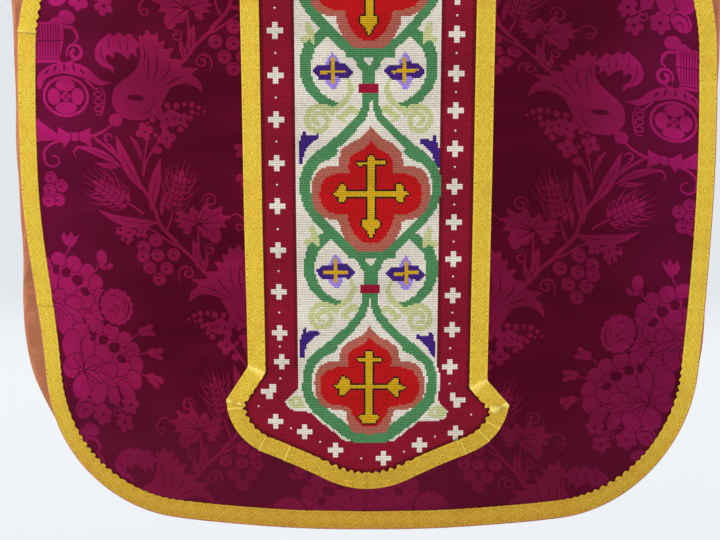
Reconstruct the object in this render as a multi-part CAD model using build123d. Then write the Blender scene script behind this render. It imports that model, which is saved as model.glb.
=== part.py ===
from build123d import *
import math
import os

# Fiddleback chasuble: stiff lined silk panels with a needlework column, hanging as it is worn.
# Millimetres, +Z up, and the front faces -Y. The origin is the middle of the neck opening, level
# with the shoulder crest. Every layer of cloth is a band of constant thickness that follows one
# carrier surface, the outer face of the damask. Left and right are -X and +X.

# ---- side profile of the carrier surface, in the YZ plane ----
FRONT_Y = -95.0             # front panel below the chest
BACK_Y = 95.0               # back panel below the shoulder blades
CREST_Y = 10.0              # shoulder seam, the highest line of the garment
CREST_RADIUS = 70.0
CHEST_RADIUS = 180.0
BLADE_RADIUS = 120.0
FRONT_SLOPE = 58.0          # degrees below horizontal, between crest and chest
BACK_SLOPE = 50.0           # degrees below horizontal, between crest and shoulder blades
WRAP_RADIUS = 1300.0        # how far the stiff panels wrap round the body
WRAP_HALF = 380.0           # half of the chord that the untrimmed bands cover

# ---- lengths and widths ----
FRONT_HEM_Z = -905.0
BACK_HEM_Z = -985.0
LOWEST_Z = -1040.0          # where the untrimmed bands end
TOP_Z = 25.0                # above the crest, where the outlines close
BACK_HALF = 358.0
SHOULDER_HALF = 240.0
COLUMN_HALF = 111.0         # needlework column, to the outside of its galloon
NECK_HALF_WIDTH = 105.0
NECK_HALF_DEPTH = 65.0
GALLOON = 17.0
NECK_GALLOON_SIDE = 14.0    # plan width of the neck galloon on the flat of the shoulder
NECK_GALLOON_FRONT = 8.0    # its plan width where the cloth slopes

# ---- heights where the panels start to swing, and the clearance there ----
FRONT_SPLIT_Z = -78.0
BACK_SPLIT_Z = -60.0
SPLIT_GAP = 0.5

# ---- joins between lengths of the front's edge galloon, above the front hem ----
LOWER_JOIN = 211.0
UPPER_JOIN = 464.0

# ---- layers, as distances from the carrier surface ----
LINING = (-2.3, -1.9)
INTERLINING = (-1.9, -0.5)
DAMASK = (-0.5, 0.0)
BRAID = (0.0, 1.2)
NEEDLEWORK = (0.0, 2.0)

FAR = 1500.0                # beyond every part of the garment


# ---- carrier surface ----

def outward(phi):
    """Outward normal of the profile: phi is -90 on the front, 0 at the crest and 90 on the back."""
    return Vector(0, math.sin(math.radians(phi)), math.cos(math.radians(phi)))


def onward(phi):
    """Direction of travel along the profile, from the front hem over the crest to the back hem."""
    return Vector(0, math.cos(math.radians(phi)), -math.sin(math.radians(phi)))


def profile_legs():
    """Straight runs (length, None) and arcs (radius, turn) from the front's low end to the back's."""
    front = math.radians(FRONT_SLOPE)
    back = math.radians(BACK_SLOPE)
    front_reach = CHEST_RADIUS * (1 - math.sin(front)) + CREST_RADIUS * math.sin(front)
    back_reach = BLADE_RADIUS * (1 - math.sin(back)) + CREST_RADIUS * math.sin(back)
    front_run = (CREST_Y - FRONT_Y - front_reach) / math.cos(front)
    back_run = (BACK_Y - CREST_Y - back_reach) / math.cos(back)
    chest_end = -(CREST_RADIUS * (1 - math.cos(front)) + front_run * math.sin(front)
                  + CHEST_RADIUS * math.cos(front))
    blade_end = -(CREST_RADIUS * (1 - math.cos(back)) + back_run * math.sin(back)
                  + BLADE_RADIUS * math.cos(back))
    return [
        (chest_end - LOWEST_Z, None),
        (CHEST_RADIUS, 90 - FRONT_SLOPE),
        (front_run, None),
        (CREST_RADIUS, FRONT_SLOPE + BACK_SLOPE),
        (back_run, None),
        (BLADE_RADIUS, 90 - BACK_SLOPE),
        (blade_end - LOWEST_Z, None),
    ]


def section(place, phi, layer):
    """Cross-section of one layer, wrapped round the body, with its middle at place."""
    half_angle = math.asin(WRAP_HALF / WRAP_RADIUS)
    centre = place - outward(phi) * WRAP_RADIUS

    def at(angle, offset):
        radius = WRAP_RADIUS + offset
        return centre + Vector(radius * math.sin(angle), 0, 0) + outward(phi) * (radius * math.cos(angle))

    inner, outer = layer
    low = ThreePointArc(at(-half_angle, inner), at(0, inner), at(half_angle, inner))
    high = ThreePointArc(at(-half_angle, outer), at(0, outer), at(half_angle, outer))
    left = Line(at(-half_angle, inner), at(-half_angle, outer))
    right = Line(at(half_angle, inner), at(half_angle, outer))
    return make_face([low, right, high, left])


def band(layer):
    """One layer of cloth along the whole profile, before it is cut to shape."""
    place = Vector(0, FRONT_Y, LOWEST_Z)
    phi = -90.0
    legs = []
    for size, turn in profile_legs():
        face = section(place, phi, layer)
        if turn is None:
            legs.append(extrude(face, amount=size, dir=onward(phi)))
            place = place + onward(phi) * size
        else:
            centre = place - outward(phi) * size
            legs.append(revolve(face, axis=Axis(centre, (-1, 0, 0)), revolution_arc=turn))
            phi = phi + turn
            place = centre + outward(phi) * size
    return legs[0].fuse(*legs[1:])


# ---- outlines, drawn as (x, height above the hem) ----

def mirrored_face(edges):
    """A face from the edges of its right half."""
    return make_face(edges + [edge.mirror(Plane.YZ) for edge in edges])


def front_outline():
    """Front panel: rounded corners, widest a third of the way up, cut in for the arms."""
    top = TOP_Z - FRONT_HEM_Z
    return mirrored_face([
        ThreePointArc((0, 0), (95, 1), (186, 6)),
        ThreePointArc((186, 6), (279, 52), (317, 145)),
        ThreePointArc((317, 145), (322, 275), (316, 450)),
        ThreePointArc((316, 450), (307, 492), (290, 530)),
        ThreePointArc((290, 530), (216, 720), (SHOULDER_HALF, -FRONT_HEM_Z)),
        Line((SHOULDER_HALF, -FRONT_HEM_Z), (SHOULDER_HALF, top)),
        Line((SHOULDER_HALF, top), (0, top)),
    ])


def back_outline():
    """Back panel: wide rounded corners, and sides that narrow a little before they taper to the shoulders."""
    top = TOP_Z - BACK_HEM_Z
    return mirrored_face([
        ThreePointArc((0, 0), (110, 4), (215, 24)),
        ThreePointArc((215, 24), (320, 115), (BACK_HALF, 255)),
        Line((BACK_HALF, 255), (352, 655)),
        ThreePointArc((352, 655), (339, 740), (303, 830)),
        ThreePointArc((303, 830), (258, 905), (SHOULDER_HALF, -BACK_HEM_Z)),
        Line((SHOULDER_HALF, -BACK_HEM_Z), (SHOULDER_HALF, top)),
        Line((SHOULDER_HALF, top), (0, top)),
    ])


def column_outline():
    """Needlework column with a flared ogee foot, the same on both panels."""
    return mirrored_face([
        Line((COLUMN_HALF, 1010), (COLUMN_HALF, 150)),
        Line((COLUMN_HALF, 150), (132, 122)),
        ThreePointArc((132, 122), (121, 92), (95, 73)),
        ThreePointArc((95, 73), (68, 62), (42, 50)),
        ThreePointArc((42, 50), (22, 42), (0, 39)),
        Line((0, 1010), (COLUMN_HALF, 1010)),
    ])


def inset(face):
    """The outline along the inner edge of a galloon that runs round a face."""
    return offset(face, amount=-GALLOON)


# ---- cutting prisms ----

def through_panel(face, side, hem):
    """Prism of an outline through the front (side -1) or back (side 1) half of the garment."""
    placed = Plane.XZ.offset(-CREST_Y) * Pos(0, hem, 0) * face
    return extrude(placed, amount=-side * FAR)


def block(x=(-FAR, FAR), y=(-FAR, FAR), z=(-FAR, FAR)):
    """Box between two values on each axis."""
    size = [high - low for low, high in (x, y, z)]
    middle = [(high + low) / 2 for low, high in (x, y, z)]
    return Pos(*middle) * Box(*size)


def neck_prism(side_margin=0.0, front_margin=0.0):
    face = Ellipse(NECK_HALF_WIDTH + side_margin, NECK_HALF_DEPTH + front_margin)
    return extrude(face, amount=FAR / 2, both=True)


# ---- garment ----

def solids_of(shape):
    """The solids of a cut piece, as one shape for its file."""
    solids = shape.solids()
    return solids[0] if len(solids) == 1 else Compound(solids)


def both_sides(pieces, name, shape):
    """Keep a shape as its left and right halves."""
    pieces[name + "_left"] = shape & block(x=(-FAR, 0))
    pieces[name + "_right"] = shape & block(x=(0, FAR))


def panel(name, side, outline, hem, split, bands):
    """The swinging part of the front or back, and the shapes that its yoke part shares."""
    below = block(z=(-FAR, split - SPLIT_GAP / 2))
    full = through_panel(outline, side, hem) & below
    inner = through_panel(inset(outline), side, hem)
    column = through_panel(column_outline(), side, hem)
    stitched = through_panel(inset(column_outline()), side, hem)
    pieces = {
        name + "_interlining": bands["interlining"] & full,
        name + "_lining": bands["lining"] & full,
        name + "_needlework": bands["needlework"] & stitched & below,
        name + "_edge_galloon": bands["braid"] & full - inner,
    }
    both_sides(pieces, name + "_damask", bands["damask"] & full)
    both_sides(pieces, name + "_column_galloon", bands["braid"] & (column & below) - stitched)
    return pieces


def yoke(name, side, outline, hem, split, bands):
    """The part of the front or back that lies on the shoulders, above the line of swing."""
    above = block(z=(split + SPLIT_GAP / 2, FAR))
    neck = neck_prism()
    ring = neck_prism(NECK_GALLOON_SIDE, NECK_GALLOON_FRONT)
    seam = block(y=(CREST_Y - GALLOON / 2, CREST_Y + GALLOON / 2))
    full = (through_panel(outline, side, hem) & above) - neck
    inner = through_panel(inset(outline), side, hem)
    edge_strip = block(x=(GALLOON - SHOULDER_HALF, SHOULDER_HALF - GALLOON))
    column = block(x=(-COLUMN_HALF, COLUMN_HALF))
    stitched = block(x=(GALLOON - COLUMN_HALF, COLUMN_HALF - GALLOON))
    pieces = {
        name + "_interlining": bands["interlining"] & full,
        name + "_lining": bands["lining"] & full,
        name + "_needlework": (bands["needlework"] & full & stitched) - ring,
    }
    both_sides(pieces, name + "_damask", bands["damask"] & full)
    both_sides(pieces, name + "_column_galloon", (bands["braid"] & full & column) - stitched - ring - seam)
    both_sides(pieces, name + "_armhole_galloon",
               (bands["braid"] & full) - (inner & edge_strip) - ring - seam)
    return pieces


def front_edge_lengths(pieces):
    """Cut the front's edge galloon into its three lengths; one goes from the hem up the right side."""
    whole = pieces.pop("front_edge_galloon")
    lower = FRONT_HEM_Z + LOWER_JOIN
    upper = FRONT_HEM_Z + UPPER_JOIN
    left = block(x=(-FAR, 0))
    pieces["front_edge_galloon_upper_left"] = whole & left & block(z=(upper, FAR))
    pieces["front_edge_galloon_middle_left"] = whole & left & block(z=(lower, upper))
    pieces["front_edge_galloon_hem_and_right"] = whole - (left & block(z=(lower, FAR)))


def garment():
    layers = {"lining": LINING, "interlining": INTERLINING, "damask": DAMASK,
              "braid": BRAID, "needlework": NEEDLEWORK}
    bands = {name: band(layer) for name, layer in layers.items()}
    front = (-1, front_outline(), FRONT_HEM_Z, FRONT_SPLIT_Z, bands)
    back = (1, back_outline(), BACK_HEM_Z, BACK_SPLIT_Z, bands)
    pieces = {}
    pieces.update(panel("front", *front))
    pieces.update(panel("back", *back))
    front_edge_lengths(pieces)
    both_sides(pieces, "back_edge_galloon", pieces.pop("back_edge_galloon"))
    pieces.update(yoke("front_yoke", *front))
    pieces.update(yoke("back_yoke", *back))

    ring = neck_prism(NECK_GALLOON_SIDE, NECK_GALLOON_FRONT)
    strip = block(x=(-SHOULDER_HALF, SHOULDER_HALF), y=(CREST_Y - GALLOON / 2, CREST_Y + GALLOON / 2))
    top = block(z=(FRONT_SPLIT_Z, FAR))
    pieces["neck_galloon"] = bands["braid"] & top & (ring - neck_prism())
    both_sides(pieces, "shoulder_seam_galloon", (bands["braid"] & top & strip) - ring)
    return pieces


os.makedirs("parts", exist_ok=True)
for node, shape in garment().items():
    export_step(solids_of(shape), "parts/" + node + ".step")
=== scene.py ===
import math

import bmesh
import bpy
import numpy as np
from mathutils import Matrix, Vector
from mathutils.geometry import delaunay_2d_cdt


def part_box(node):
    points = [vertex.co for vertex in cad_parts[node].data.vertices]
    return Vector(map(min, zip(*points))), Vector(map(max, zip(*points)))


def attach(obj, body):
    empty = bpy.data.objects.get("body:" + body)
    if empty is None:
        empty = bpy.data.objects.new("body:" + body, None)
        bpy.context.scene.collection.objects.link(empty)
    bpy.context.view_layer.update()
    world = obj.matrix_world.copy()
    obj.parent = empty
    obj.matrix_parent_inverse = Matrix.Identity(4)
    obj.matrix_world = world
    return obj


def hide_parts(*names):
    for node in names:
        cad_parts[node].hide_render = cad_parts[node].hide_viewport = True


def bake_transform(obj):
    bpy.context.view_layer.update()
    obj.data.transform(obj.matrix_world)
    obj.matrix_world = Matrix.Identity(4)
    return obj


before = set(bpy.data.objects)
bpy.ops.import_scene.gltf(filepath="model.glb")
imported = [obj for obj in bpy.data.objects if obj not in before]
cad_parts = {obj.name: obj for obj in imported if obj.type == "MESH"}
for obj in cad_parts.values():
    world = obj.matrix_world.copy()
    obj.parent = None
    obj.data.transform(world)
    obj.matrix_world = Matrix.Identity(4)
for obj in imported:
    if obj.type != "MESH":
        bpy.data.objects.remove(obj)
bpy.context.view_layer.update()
rng = np.random.default_rng(7)

# Flat cloth is drawn in millimetres as (x, s): x across, s down along the cloth from the shoulder
# seam. h is a height above the hem, measured up the cloth. Meshes are in metres.
MM = 0.001


def node_box(name):
    low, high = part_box(name)
    return np.array(low) / MM, np.array(high) / MM


# ---- carrier surface: the outer face of the damask, as in the CAD model ----
CREST_Y = 10.0
CREST_RADIUS = 70.0
WRAP_RADIUS = 1300.0
NECK = (105.0, 65.0)
NECK_GALLOON = (119.0, 73.0)
SHOULDER_HALF = 240.0
GALLOON = 17.0
COLUMN_HALF = 111.0
SEAM_HALF = GALLOON / 2        # half the width of the galloon over a shoulder seam
UNDERLAP = 4.5                 # how far the needlework's edge runs under its galloon
NEEDLEWORK_PILE = 1.9


class Side:
    """The front (side -1) or back (side 1) half of the garment."""

    def __init__(self, name, side, slope_degrees, bend_radius):
        low, high = node_box(name + "_damask_left")
        self.name = name
        self.side = side
        self.body = name + "_panel"
        self.slope = math.radians(slope_degrees)
        self.bend = bend_radius
        self.hem_z = low[2]
        self.y = low[1] if side < 0 else high[1]
        reach = bend_radius * (1 - math.sin(self.slope)) + CREST_RADIUS * math.sin(self.slope)
        self.run = (abs(self.y - CREST_Y) - reach) / math.cos(self.slope)
        self.crest_end = CREST_RADIUS * self.slope
        self.slope_end = self.crest_end + self.run
        self.bend_end = self.slope_end + bend_radius * (math.pi / 2 - self.slope)
        drop = (CREST_RADIUS * (1 - math.cos(self.slope)) + self.run * math.sin(self.slope)
                + bend_radius * math.cos(self.slope))
        self.length = self.bend_end - drop - self.hem_z

    def profile(self, s):
        """How far out from the seam, how high and how steep the cloth is, s along its middle."""
        phi = np.clip(s / CREST_RADIUS, 0, self.slope)
        on_run = np.clip(s - self.crest_end, 0, self.run)
        turned = self.slope + np.clip(s - self.slope_end, 0, self.bend_end - self.slope_end) / self.bend
        below = np.clip(s - self.bend_end, 0, None)
        out = (CREST_RADIUS * np.sin(phi) + on_run * math.cos(self.slope)
               + self.bend * (np.sin(turned) - math.sin(self.slope)))
        down = (CREST_RADIUS * (1 - np.cos(phi)) + on_run * math.sin(self.slope)
                + self.bend * (math.cos(self.slope) - np.cos(turned)) + below)
        return out, -down, phi + turned - self.slope

    def rigid(self, x, s, d):
        """Points at an offset d from the carrier, with no drape, in millimetres."""
        x, s, d = (np.asarray(v, float) for v in np.broadcast_arrays(x, s, d))
        out, z, tilt = self.profile(s)
        angle = np.arcsin(np.clip(x / WRAP_RADIUS, -1, 1))
        radius = WRAP_RADIUS + d
        rise = radius * np.cos(angle) - WRAP_RADIUS
        y = CREST_Y + self.side * (out + np.sin(tilt) * rise)
        return np.stack([radius * np.sin(angle), y, z + np.cos(tilt) * rise], -1)

    def place(self, x, s, d):
        """Draped points in metres."""
        shift, swell = drape(self, np.asarray(x, float), np.asarray(s, float))
        points = self.rigid(x, s, d + swell)
        points[..., 0] += shift
        return points * MM

    def search(self, x, wanted, measure):
        """The s at which a measure of the carrier, which grows with s, reaches a wanted value."""
        low = np.zeros_like(x)
        high = np.full_like(x, self.length + 80)
        for _ in range(40):
            middle = (low + high) / 2
            short = measure(self.rigid(x, middle, 0)) < wanted
            low = np.where(short, middle, low)
            high = np.where(short, high, middle)
        return (low + high) / 2

    def s_at_height(self, x, z):
        return self.search(x, -z, lambda points: -points[..., 2])

    def s_at_depth(self, x, y):
        return self.search(x, self.side * y, lambda points: self.side * points[..., 1])


def drape(half, x, s):
    """Sideways shift and outward swell of the hanging cloth, in millimetres."""
    hang = np.clip((s - half.bend_end) / 300, 0, 1)
    swell = 1.6 * hang * np.sin(x / 95 + s / 210) * np.cos(s / 160 - x / 300)
    swell += 0.5 * hang * np.sin(x / 31 + s / 120) * np.sin(s / 47)
    stiff = 1 - np.exp(-((np.abs(x) / COLUMN_HALF) ** 6))
    swell = swell * (0.35 + 0.65 * stiff)
    shift = np.zeros_like(x)
    if half.side > 0:    # the back's sides ripple, and its right one is narrower half way down
        rim = np.clip((np.abs(x) - 270) / 83, 0, 1) ** 2 * hang
        swell += rim * 2.4 * np.sin(s / 21 + 0.7 * np.sin(s / 57))
        swell += rim * 0.9 * np.sin(s / 9.5 + 2 * np.sign(x))
        shift += rim * np.sign(x) * (0.9 * np.sin(s / 31 + 1.1) + 0.4 * np.sin(s / 13))
        right = np.clip(x / 340, 0, 1) ** 2
        shift -= 5.0 * right * np.sin(math.pi * np.clip((s - 520) / 420, 0, 1)) ** 2
    if half.side < 0:    # the front's left corner hangs inwards and closer to the back
        left = np.clip(-x / 320, 0, 1) ** 2
        shift += 7.0 * left * np.sin(math.pi * np.clip((s - half.length + 330) / 330, 0, 1)) ** 2
        swell -= 9.0 * left * np.clip((s - half.length + 380) / 380, 0, 1)
    return shift, swell


front = Side("front", -1, 58, 180.0)
back = Side("back", 1, 50, 120.0)
SIDES = (("left", -1), ("right", 1))


# ---- flat outlines ----

def arc(a, b, c, count=18):
    """Points on the circular arc from a through b to c."""
    (ax, ay), (bx, by), (cx, cy) = a, b, c
    d = 2 * (ax * (by - cy) + bx * (cy - ay) + cx * (ay - by))
    a2, b2, c2 = ax * ax + ay * ay, bx * bx + by * by, cx * cx + cy * cy
    ox = (a2 * (by - cy) + b2 * (cy - ay) + c2 * (ay - by)) / d
    oy = (a2 * (cx - bx) + b2 * (ax - cx) + c2 * (bx - ax)) / d
    start, middle, end = (math.atan2(y - oy, x - ox) for x, y in (a, b, c))
    turn = (end - start) % (2 * math.pi)
    if (middle - start) % (2 * math.pi) > turn:
        turn -= 2 * math.pi
    radius = math.hypot(ax - ox, ay - oy)
    angles = start + turn * np.linspace(0, 1, count)
    return np.stack([ox + radius * np.cos(angles), oy + radius * np.sin(angles)], -1)


def chain(*pieces):
    """Join runs of points, dropping repeats."""
    points = np.concatenate([np.asarray(p, float) for p in pieces])
    keep = np.r_[True, np.hypot(*np.diff(points, axis=0).T) > 0.05]
    return points[keep]


def panel_edge(half):
    """Right-hand edge of a panel from the middle of the hem to the shoulder seam, as (x, s)."""
    if half is front:
        edge = chain(arc((0, 0), (95, 1), (186, 6)), arc((186, 6), (279, 52), (317, 145), 30),
                     arc((317, 145), (322, 275), (316, 450)), arc((316, 450), (307, 492), (290, 530)),
                     arc((290, 530), (216, 720), (SHOULDER_HALF, 905), 40))
    else:
        edge = chain(arc((0, 0), (110, 4), (215, 24)), arc((215, 24), (320, 115), (358, 255), 40),
                     [(356, 388), (354, 521)], arc((352, 655), (339, 740), (303, 830)),
                     arc((303, 830), (258, 905), (SHOULDER_HALF, 985), 30))
    s = half.s_at_height(edge[:, 0], half.hem_z + edge[:, 1])
    keep = s > 0.5
    return chain(np.stack([edge[keep, 0], s[keep]], -1), [(SHOULDER_HALF, 0)])


def neck_edge(half, radii):
    """Right-hand edge of the neck opening from the shoulder seam to the middle, as (x, s)."""
    start = math.asin(CREST_Y / radii[1])
    angles = np.linspace(start, half.side * math.pi / 2, 26)
    x = radii[0] * np.cos(angles)
    s = half.s_at_depth(x, radii[1] * np.sin(angles))
    s[0] = 0
    return np.stack([x, s], -1)


def half_outline(half):
    return chain(panel_edge(half), neck_edge(half, NECK))


def mirror(points):
    return points[::-1] * np.array([-1, 1])


def moved_outline(half, depth):
    """Right half of a panel's outline, moved inwards by a depth, or outwards where it is negative."""
    edge = inset(panel_edge(half), depth)
    edge = chain(edge[edge[:, 1] > 3], [(SHOULDER_HALF - depth, 0)])
    edge = chain(edge, neck_edge(half, (NECK[0] + depth, NECK[1] + depth)))
    edge[0, 0] = 0
    return edge


def whole(right):
    """A closed outline from its right half, which starts and ends on the middle line."""
    return np.concatenate([right, mirror(right)[1:-1]])


def column_foot(half, side=1):
    """Outside of one side of the column's flared foot, from its lowest point upwards, as (x, s).

    The front's left notch was sewn a little higher than its right one."""
    tip = 122 if half is back else 122 - 2.5 * side
    notch = 150 if half is back else 150 - 6.5 * side
    foot = chain(arc((0, 39), (22, 42), (42, 50), 10), arc((42, 50), (68, 62), (95, 73), 10),
                 arc((95, 73), (121, 92), (132, tip), 18), [(COLUMN_HALF, notch)])
    return np.stack([foot[:, 0], half.length - foot[:, 1]], -1)


def ring_s(half, x):
    """Where the lower edge of the neck galloon crosses a given x, as s."""
    ring = neck_edge(half, NECK_GALLOON)[::-1]
    return np.interp(abs(x), ring[:, 0], ring[:, 1])


def inset(points, distances):
    """The path from the middle of the hem up the right, moved inwards and mitred at its corners.

    With several distances the result has one more axis, across."""
    steps = np.diff(points, axis=0)
    steps /= np.linalg.norm(steps, axis=1)[:, None]
    before, after = np.vstack([steps[:1], steps]), np.vstack([steps, steps[-1:]])
    direction = before + after
    direction /= np.linalg.norm(direction, axis=1)[:, None]
    mitre = np.clip((direction * after).sum(1), 0.5, 1)
    normal = np.stack([direction[:, 1], -direction[:, 0]], -1) / mitre[:, None]
    if np.isscalar(distances):
        return points + normal * distances
    return points[:, None] + normal[:, None] * np.asarray(distances)[:, None]


def resample(points, step):
    """The path with more points, no further apart than a step, that keeps its corners."""
    runs = [points[:1]]
    for a, b in zip(points, points[1:]):
        count = max(1, math.ceil(np.hypot(*(b - a)) / step))
        runs.append(a + (b - a) * (np.arange(1, count + 1) / count)[:, None])
    return np.concatenate(runs)


def lengths_along(points):
    return np.r_[0, np.cumsum(np.hypot(*np.diff(points, axis=0).T))]


def signed_area(outline):
    x, y = outline[:, 0], outline[:, 1]
    return (np.dot(x, np.roll(y, -1)) - np.dot(y, np.roll(x, -1))) / 2


def anticlockwise(polygon):
    polygon = np.asarray(polygon, float)
    return polygon if signed_area(polygon) > 0 else polygon[::-1]


def inside(outline, x, y):
    """Which of the points (x, y) lie inside a closed outline."""
    result = np.zeros(np.shape(x), bool)
    for (ax, ay), (bx, by) in zip(outline, np.roll(outline, -1, axis=0)):
        if ay != by:
            crosses = (ay > y) != (by > y)
            result ^= crosses & (x < (bx - ax) * (y - ay) / (by - ay) + ax)
    return result


# ---- mesh making ----
CUT_STEP = 7.0                 # distance between points along a cut edge
CLOTH_STEP = 9.0               # distance between points inside a sheet


def make_mesh(name, points, faces, uv, material_indexes=None):
    """A closed mesh with smooth shading and a flat layout of its cloth."""
    mesh = bpy.data.meshes.new(name)
    mesh.from_pydata([tuple(p) for p in points], [], faces)
    mesh.polygons.foreach_set("use_smooth", [True] * len(mesh.polygons))
    if material_indexes is not None:
        mesh.polygons.foreach_set("material_index", material_indexes)
    layer = mesh.uv_layers.new(name="cloth")
    loops = np.zeros(len(mesh.loops), np.int32)
    mesh.loops.foreach_get("vertex_index", loops)
    layer.data.foreach_set("uv", np.asarray(uv, np.float32)[loops].ravel())
    obj = bpy.data.objects.new(name, mesh)
    bpy.context.scene.collection.objects.link(obj)
    return obj


def face_outwards(obj):
    work = bmesh.new()
    work.from_mesh(obj.data)
    bmesh.ops.recalc_face_normals(work, faces=work.faces)
    work.to_mesh(obj.data)
    work.free()
    return obj


def boundary_edges(faces):
    """Edges that only one face uses, each in its face's direction."""
    once = {}
    for face in faces:
        for a, b in zip(face, face[1:] + face[:1]):
            if (b, a) in once:
                del once[b, a]
            else:
                once[a, b] = True
    return list(once)


def triangulate(outline, spacing, first_row, figures=()):
    """Triangles over a flat outline, cut along the edges of the figures drawn on it.

    Rows stand twice as close above first_row, where the cloth bends. figures are (polygon, kind)
    in drawing order, and the kind is each triangle's material."""
    low, high = outline.min(0), outline.max(0)
    columns = np.arange(low[0] + spacing / 2, high[0], spacing)
    curved = np.arange(max(low[1], 0) + 3, first_row, spacing / 2)
    rows = np.r_[curved, np.arange(first_row, high[1], spacing)]
    grid = np.stack(np.meshgrid(columns, rows), -1).reshape(-1, 2)
    grid = grid[inside(outline, grid[:, 0], grid[:, 1])]
    polygons = [anticlockwise(polygon) for polygon in [outline, *(polygon for polygon, _ in figures)]]
    starts = np.cumsum([0, *(len(p) for p in polygons)])
    faces = [list(range(a, b)) for a, b in zip(starts, starts[1:])]
    points = [Vector(p) for p in np.concatenate([*polygons, grid])]
    verts, _, tris, _, _, owners = delaunay_2d_cdt(points, [], faces, 1, 0.02)
    kinds = [0, *(kind for _, kind in figures)]
    kept = [(tri, kinds[max(ids)]) for tri, ids in zip(tris, owners) if 0 in ids]
    used, numbers = np.unique([tri for tri, _ in kept], return_inverse=True)
    flat = np.array([tuple(verts[i]) for i in used])
    return flat, [tuple(tri) for tri in numbers.reshape(-1, 3).tolist()], [kind for _, kind in kept]


def cloth(name, half, outline, outer, inner, figures=(), spacing=CLOTH_STEP):
    """A closed sheet between two offsets from the carrier.

    An offset is a number or a function of the flat points."""
    flat, faces, kinds = triangulate(outline, spacing, half.bend_end, figures)
    sides = []
    for offset in (outer, inner):
        d = offset(flat[:, 0], flat[:, 1]) if callable(offset) else offset
        sides.append(half.place(flat[:, 0], flat[:, 1], d))
    count = len(flat)
    walls = [(b, a, a + count, b + count) for a, b in boundary_edges(faces)]
    backs = [tuple(v + count for v in reversed(face)) for face in faces]
    uv = np.concatenate([flat, flat]) * MM
    kinds = kinds + kinds + [0] * len(walls)
    return face_outwards(make_mesh(name, np.concatenate(sides), faces + backs + walls, uv, kinds))


# ---- materials ----

def srgb(red, green, blue):
    """A display colour, 0 to 255, as the linear colour that shaders use."""
    values = np.array([red, green, blue]) / 255
    linear = np.where(values <= 0.04045, values / 12.92, ((values + 0.055) / 1.055) ** 2.4)
    return (*[float(v) for v in linear], 1.0)


def toned(colour, factor, lift=0):
    """srgb of a colour made darker or lighter."""
    return srgb(*[min(255, v * factor + lift) for v in colour])


class Shader:
    """Short names for building one node material."""

    def __init__(self, name, roughness=0.6, **constants):
        self.material = bpy.data.materials.new(name)
        self.material.use_nodes = True
        self.tree = self.material.node_tree
        self.bsdf = self.tree.nodes["Principled BSDF"]
        self.bsdf.inputs["Roughness"].default_value = roughness
        for socket, value in constants.items():
            self.bsdf.inputs[socket.replace("_", " ")].default_value = value

    def node(self, kind, inputs=None, **settings):
        made = self.tree.nodes.new("ShaderNode" + kind)
        for key, value in settings.items():
            setattr(made, key, value)
        for key, value in (inputs or {}).items():
            if isinstance(value, bpy.types.NodeSocket):
                self.tree.links.new(value, made.inputs[key])
            else:
                made.inputs[key].default_value = value
        return made

    def math(self, operation, a, b=0.0, c=0.0):
        return self.node("Math", {0: a, 1: b, 2: c}, operation=operation).outputs[0]

    def times(self, a, b):
        return self.math("MULTIPLY", a, b)

    def plus(self, a, b):
        return self.math("ADD", a, b)

    def minus(self, a, b):
        return self.math("SUBTRACT", a, b)

    def mix(self, factor, a, b, blend="MIX"):
        made = self.node("Mix", {0: factor, 6: a, 7: b}, data_type="RGBA", blend_type=blend)
        return made.outputs[2]

    def uv(self):
        """The flat position on the cloth in millimetres, whole and as its two parts."""
        metres = self.node("UVMap", uv_map="cloth").outputs[0]
        scale = (1 / MM, 1 / MM, 1)
        scaled = self.node("VectorMath", {0: metres, 1: scale}, operation="MULTIPLY").outputs[0]
        parts = self.node("SeparateXYZ", {0: scaled})
        return scaled, parts.outputs[0], parts.outputs[1]

    def noise(self, vector, scale, detail=2.0):
        return self.node("TexNoise", {"Vector": vector, "Scale": scale, "Detail": detail}).outputs[0]

    def streaks(self, vector, x, y, scale=1.0, detail=2.0):
        """Noise that is stretched by different amounts across and along the cloth."""
        mapped = self.node("Mapping", {"Vector": vector, "Scale": (x, y, 1)}).outputs[0]
        return self.noise(mapped, scale, detail)

    def ramp(self, value, low, high, to_low=0.0, to_high=1.0):
        inputs = {0: value, 1: low, 2: high, 3: to_low, 4: to_high}
        return self.node("MapRange", inputs, interpolation_type="SMOOTHSTEP").outputs[0]

    def wave(self, value, period):
        """0 to 1 and back over each period."""
        turned = self.times(value, 2 * math.pi / period)
        return self.math("MULTIPLY_ADD", self.math("SINE", turned), 0.5, 0.5)

    def bump(self, height, distance, strength=1.0):
        made = self.node("Bump", {"Height": height, "Distance": distance, "Strength": strength})
        self.tree.links.new(made.outputs[0], self.bsdf.inputs["Normal"])

    def colour(self, socket):
        self.tree.links.new(socket, self.bsdf.inputs["Base Color"])

    def rough(self, socket):
        self.tree.links.new(socket, self.bsdf.inputs["Roughness"])


# ---- needlework: a counted-thread chart, drawn in stitches about a movable origin ----
STITCH = 188 / 118
CHART_HALF = 76                # stitches each side of the middle, at the flared foot
CHART_FOOT = 45.0              # height above the hem at which the first row starts
CHART_TOP = 85                 # distance from the shoulder seam at which the last row ends
CREAM_HALF = 40                # the cream strip, in stitches each side of the middle
MEDALLION_X = 1.3              # how far the medallions stand right of the middle, in stitches
MEDALLION_FOOT = 139.0         # height of the lowest medallion's centre
MEDALLION_PITCH = 177.5
DARK_RIM_WIDTH = 2.8               # width of the darkened stitches along the galloon
BACK_STEP = 12.0               # size of the triangles behind the stitches
BACK_OFFSET = 0.15             # how far the needlework's back stands off the damask

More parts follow.
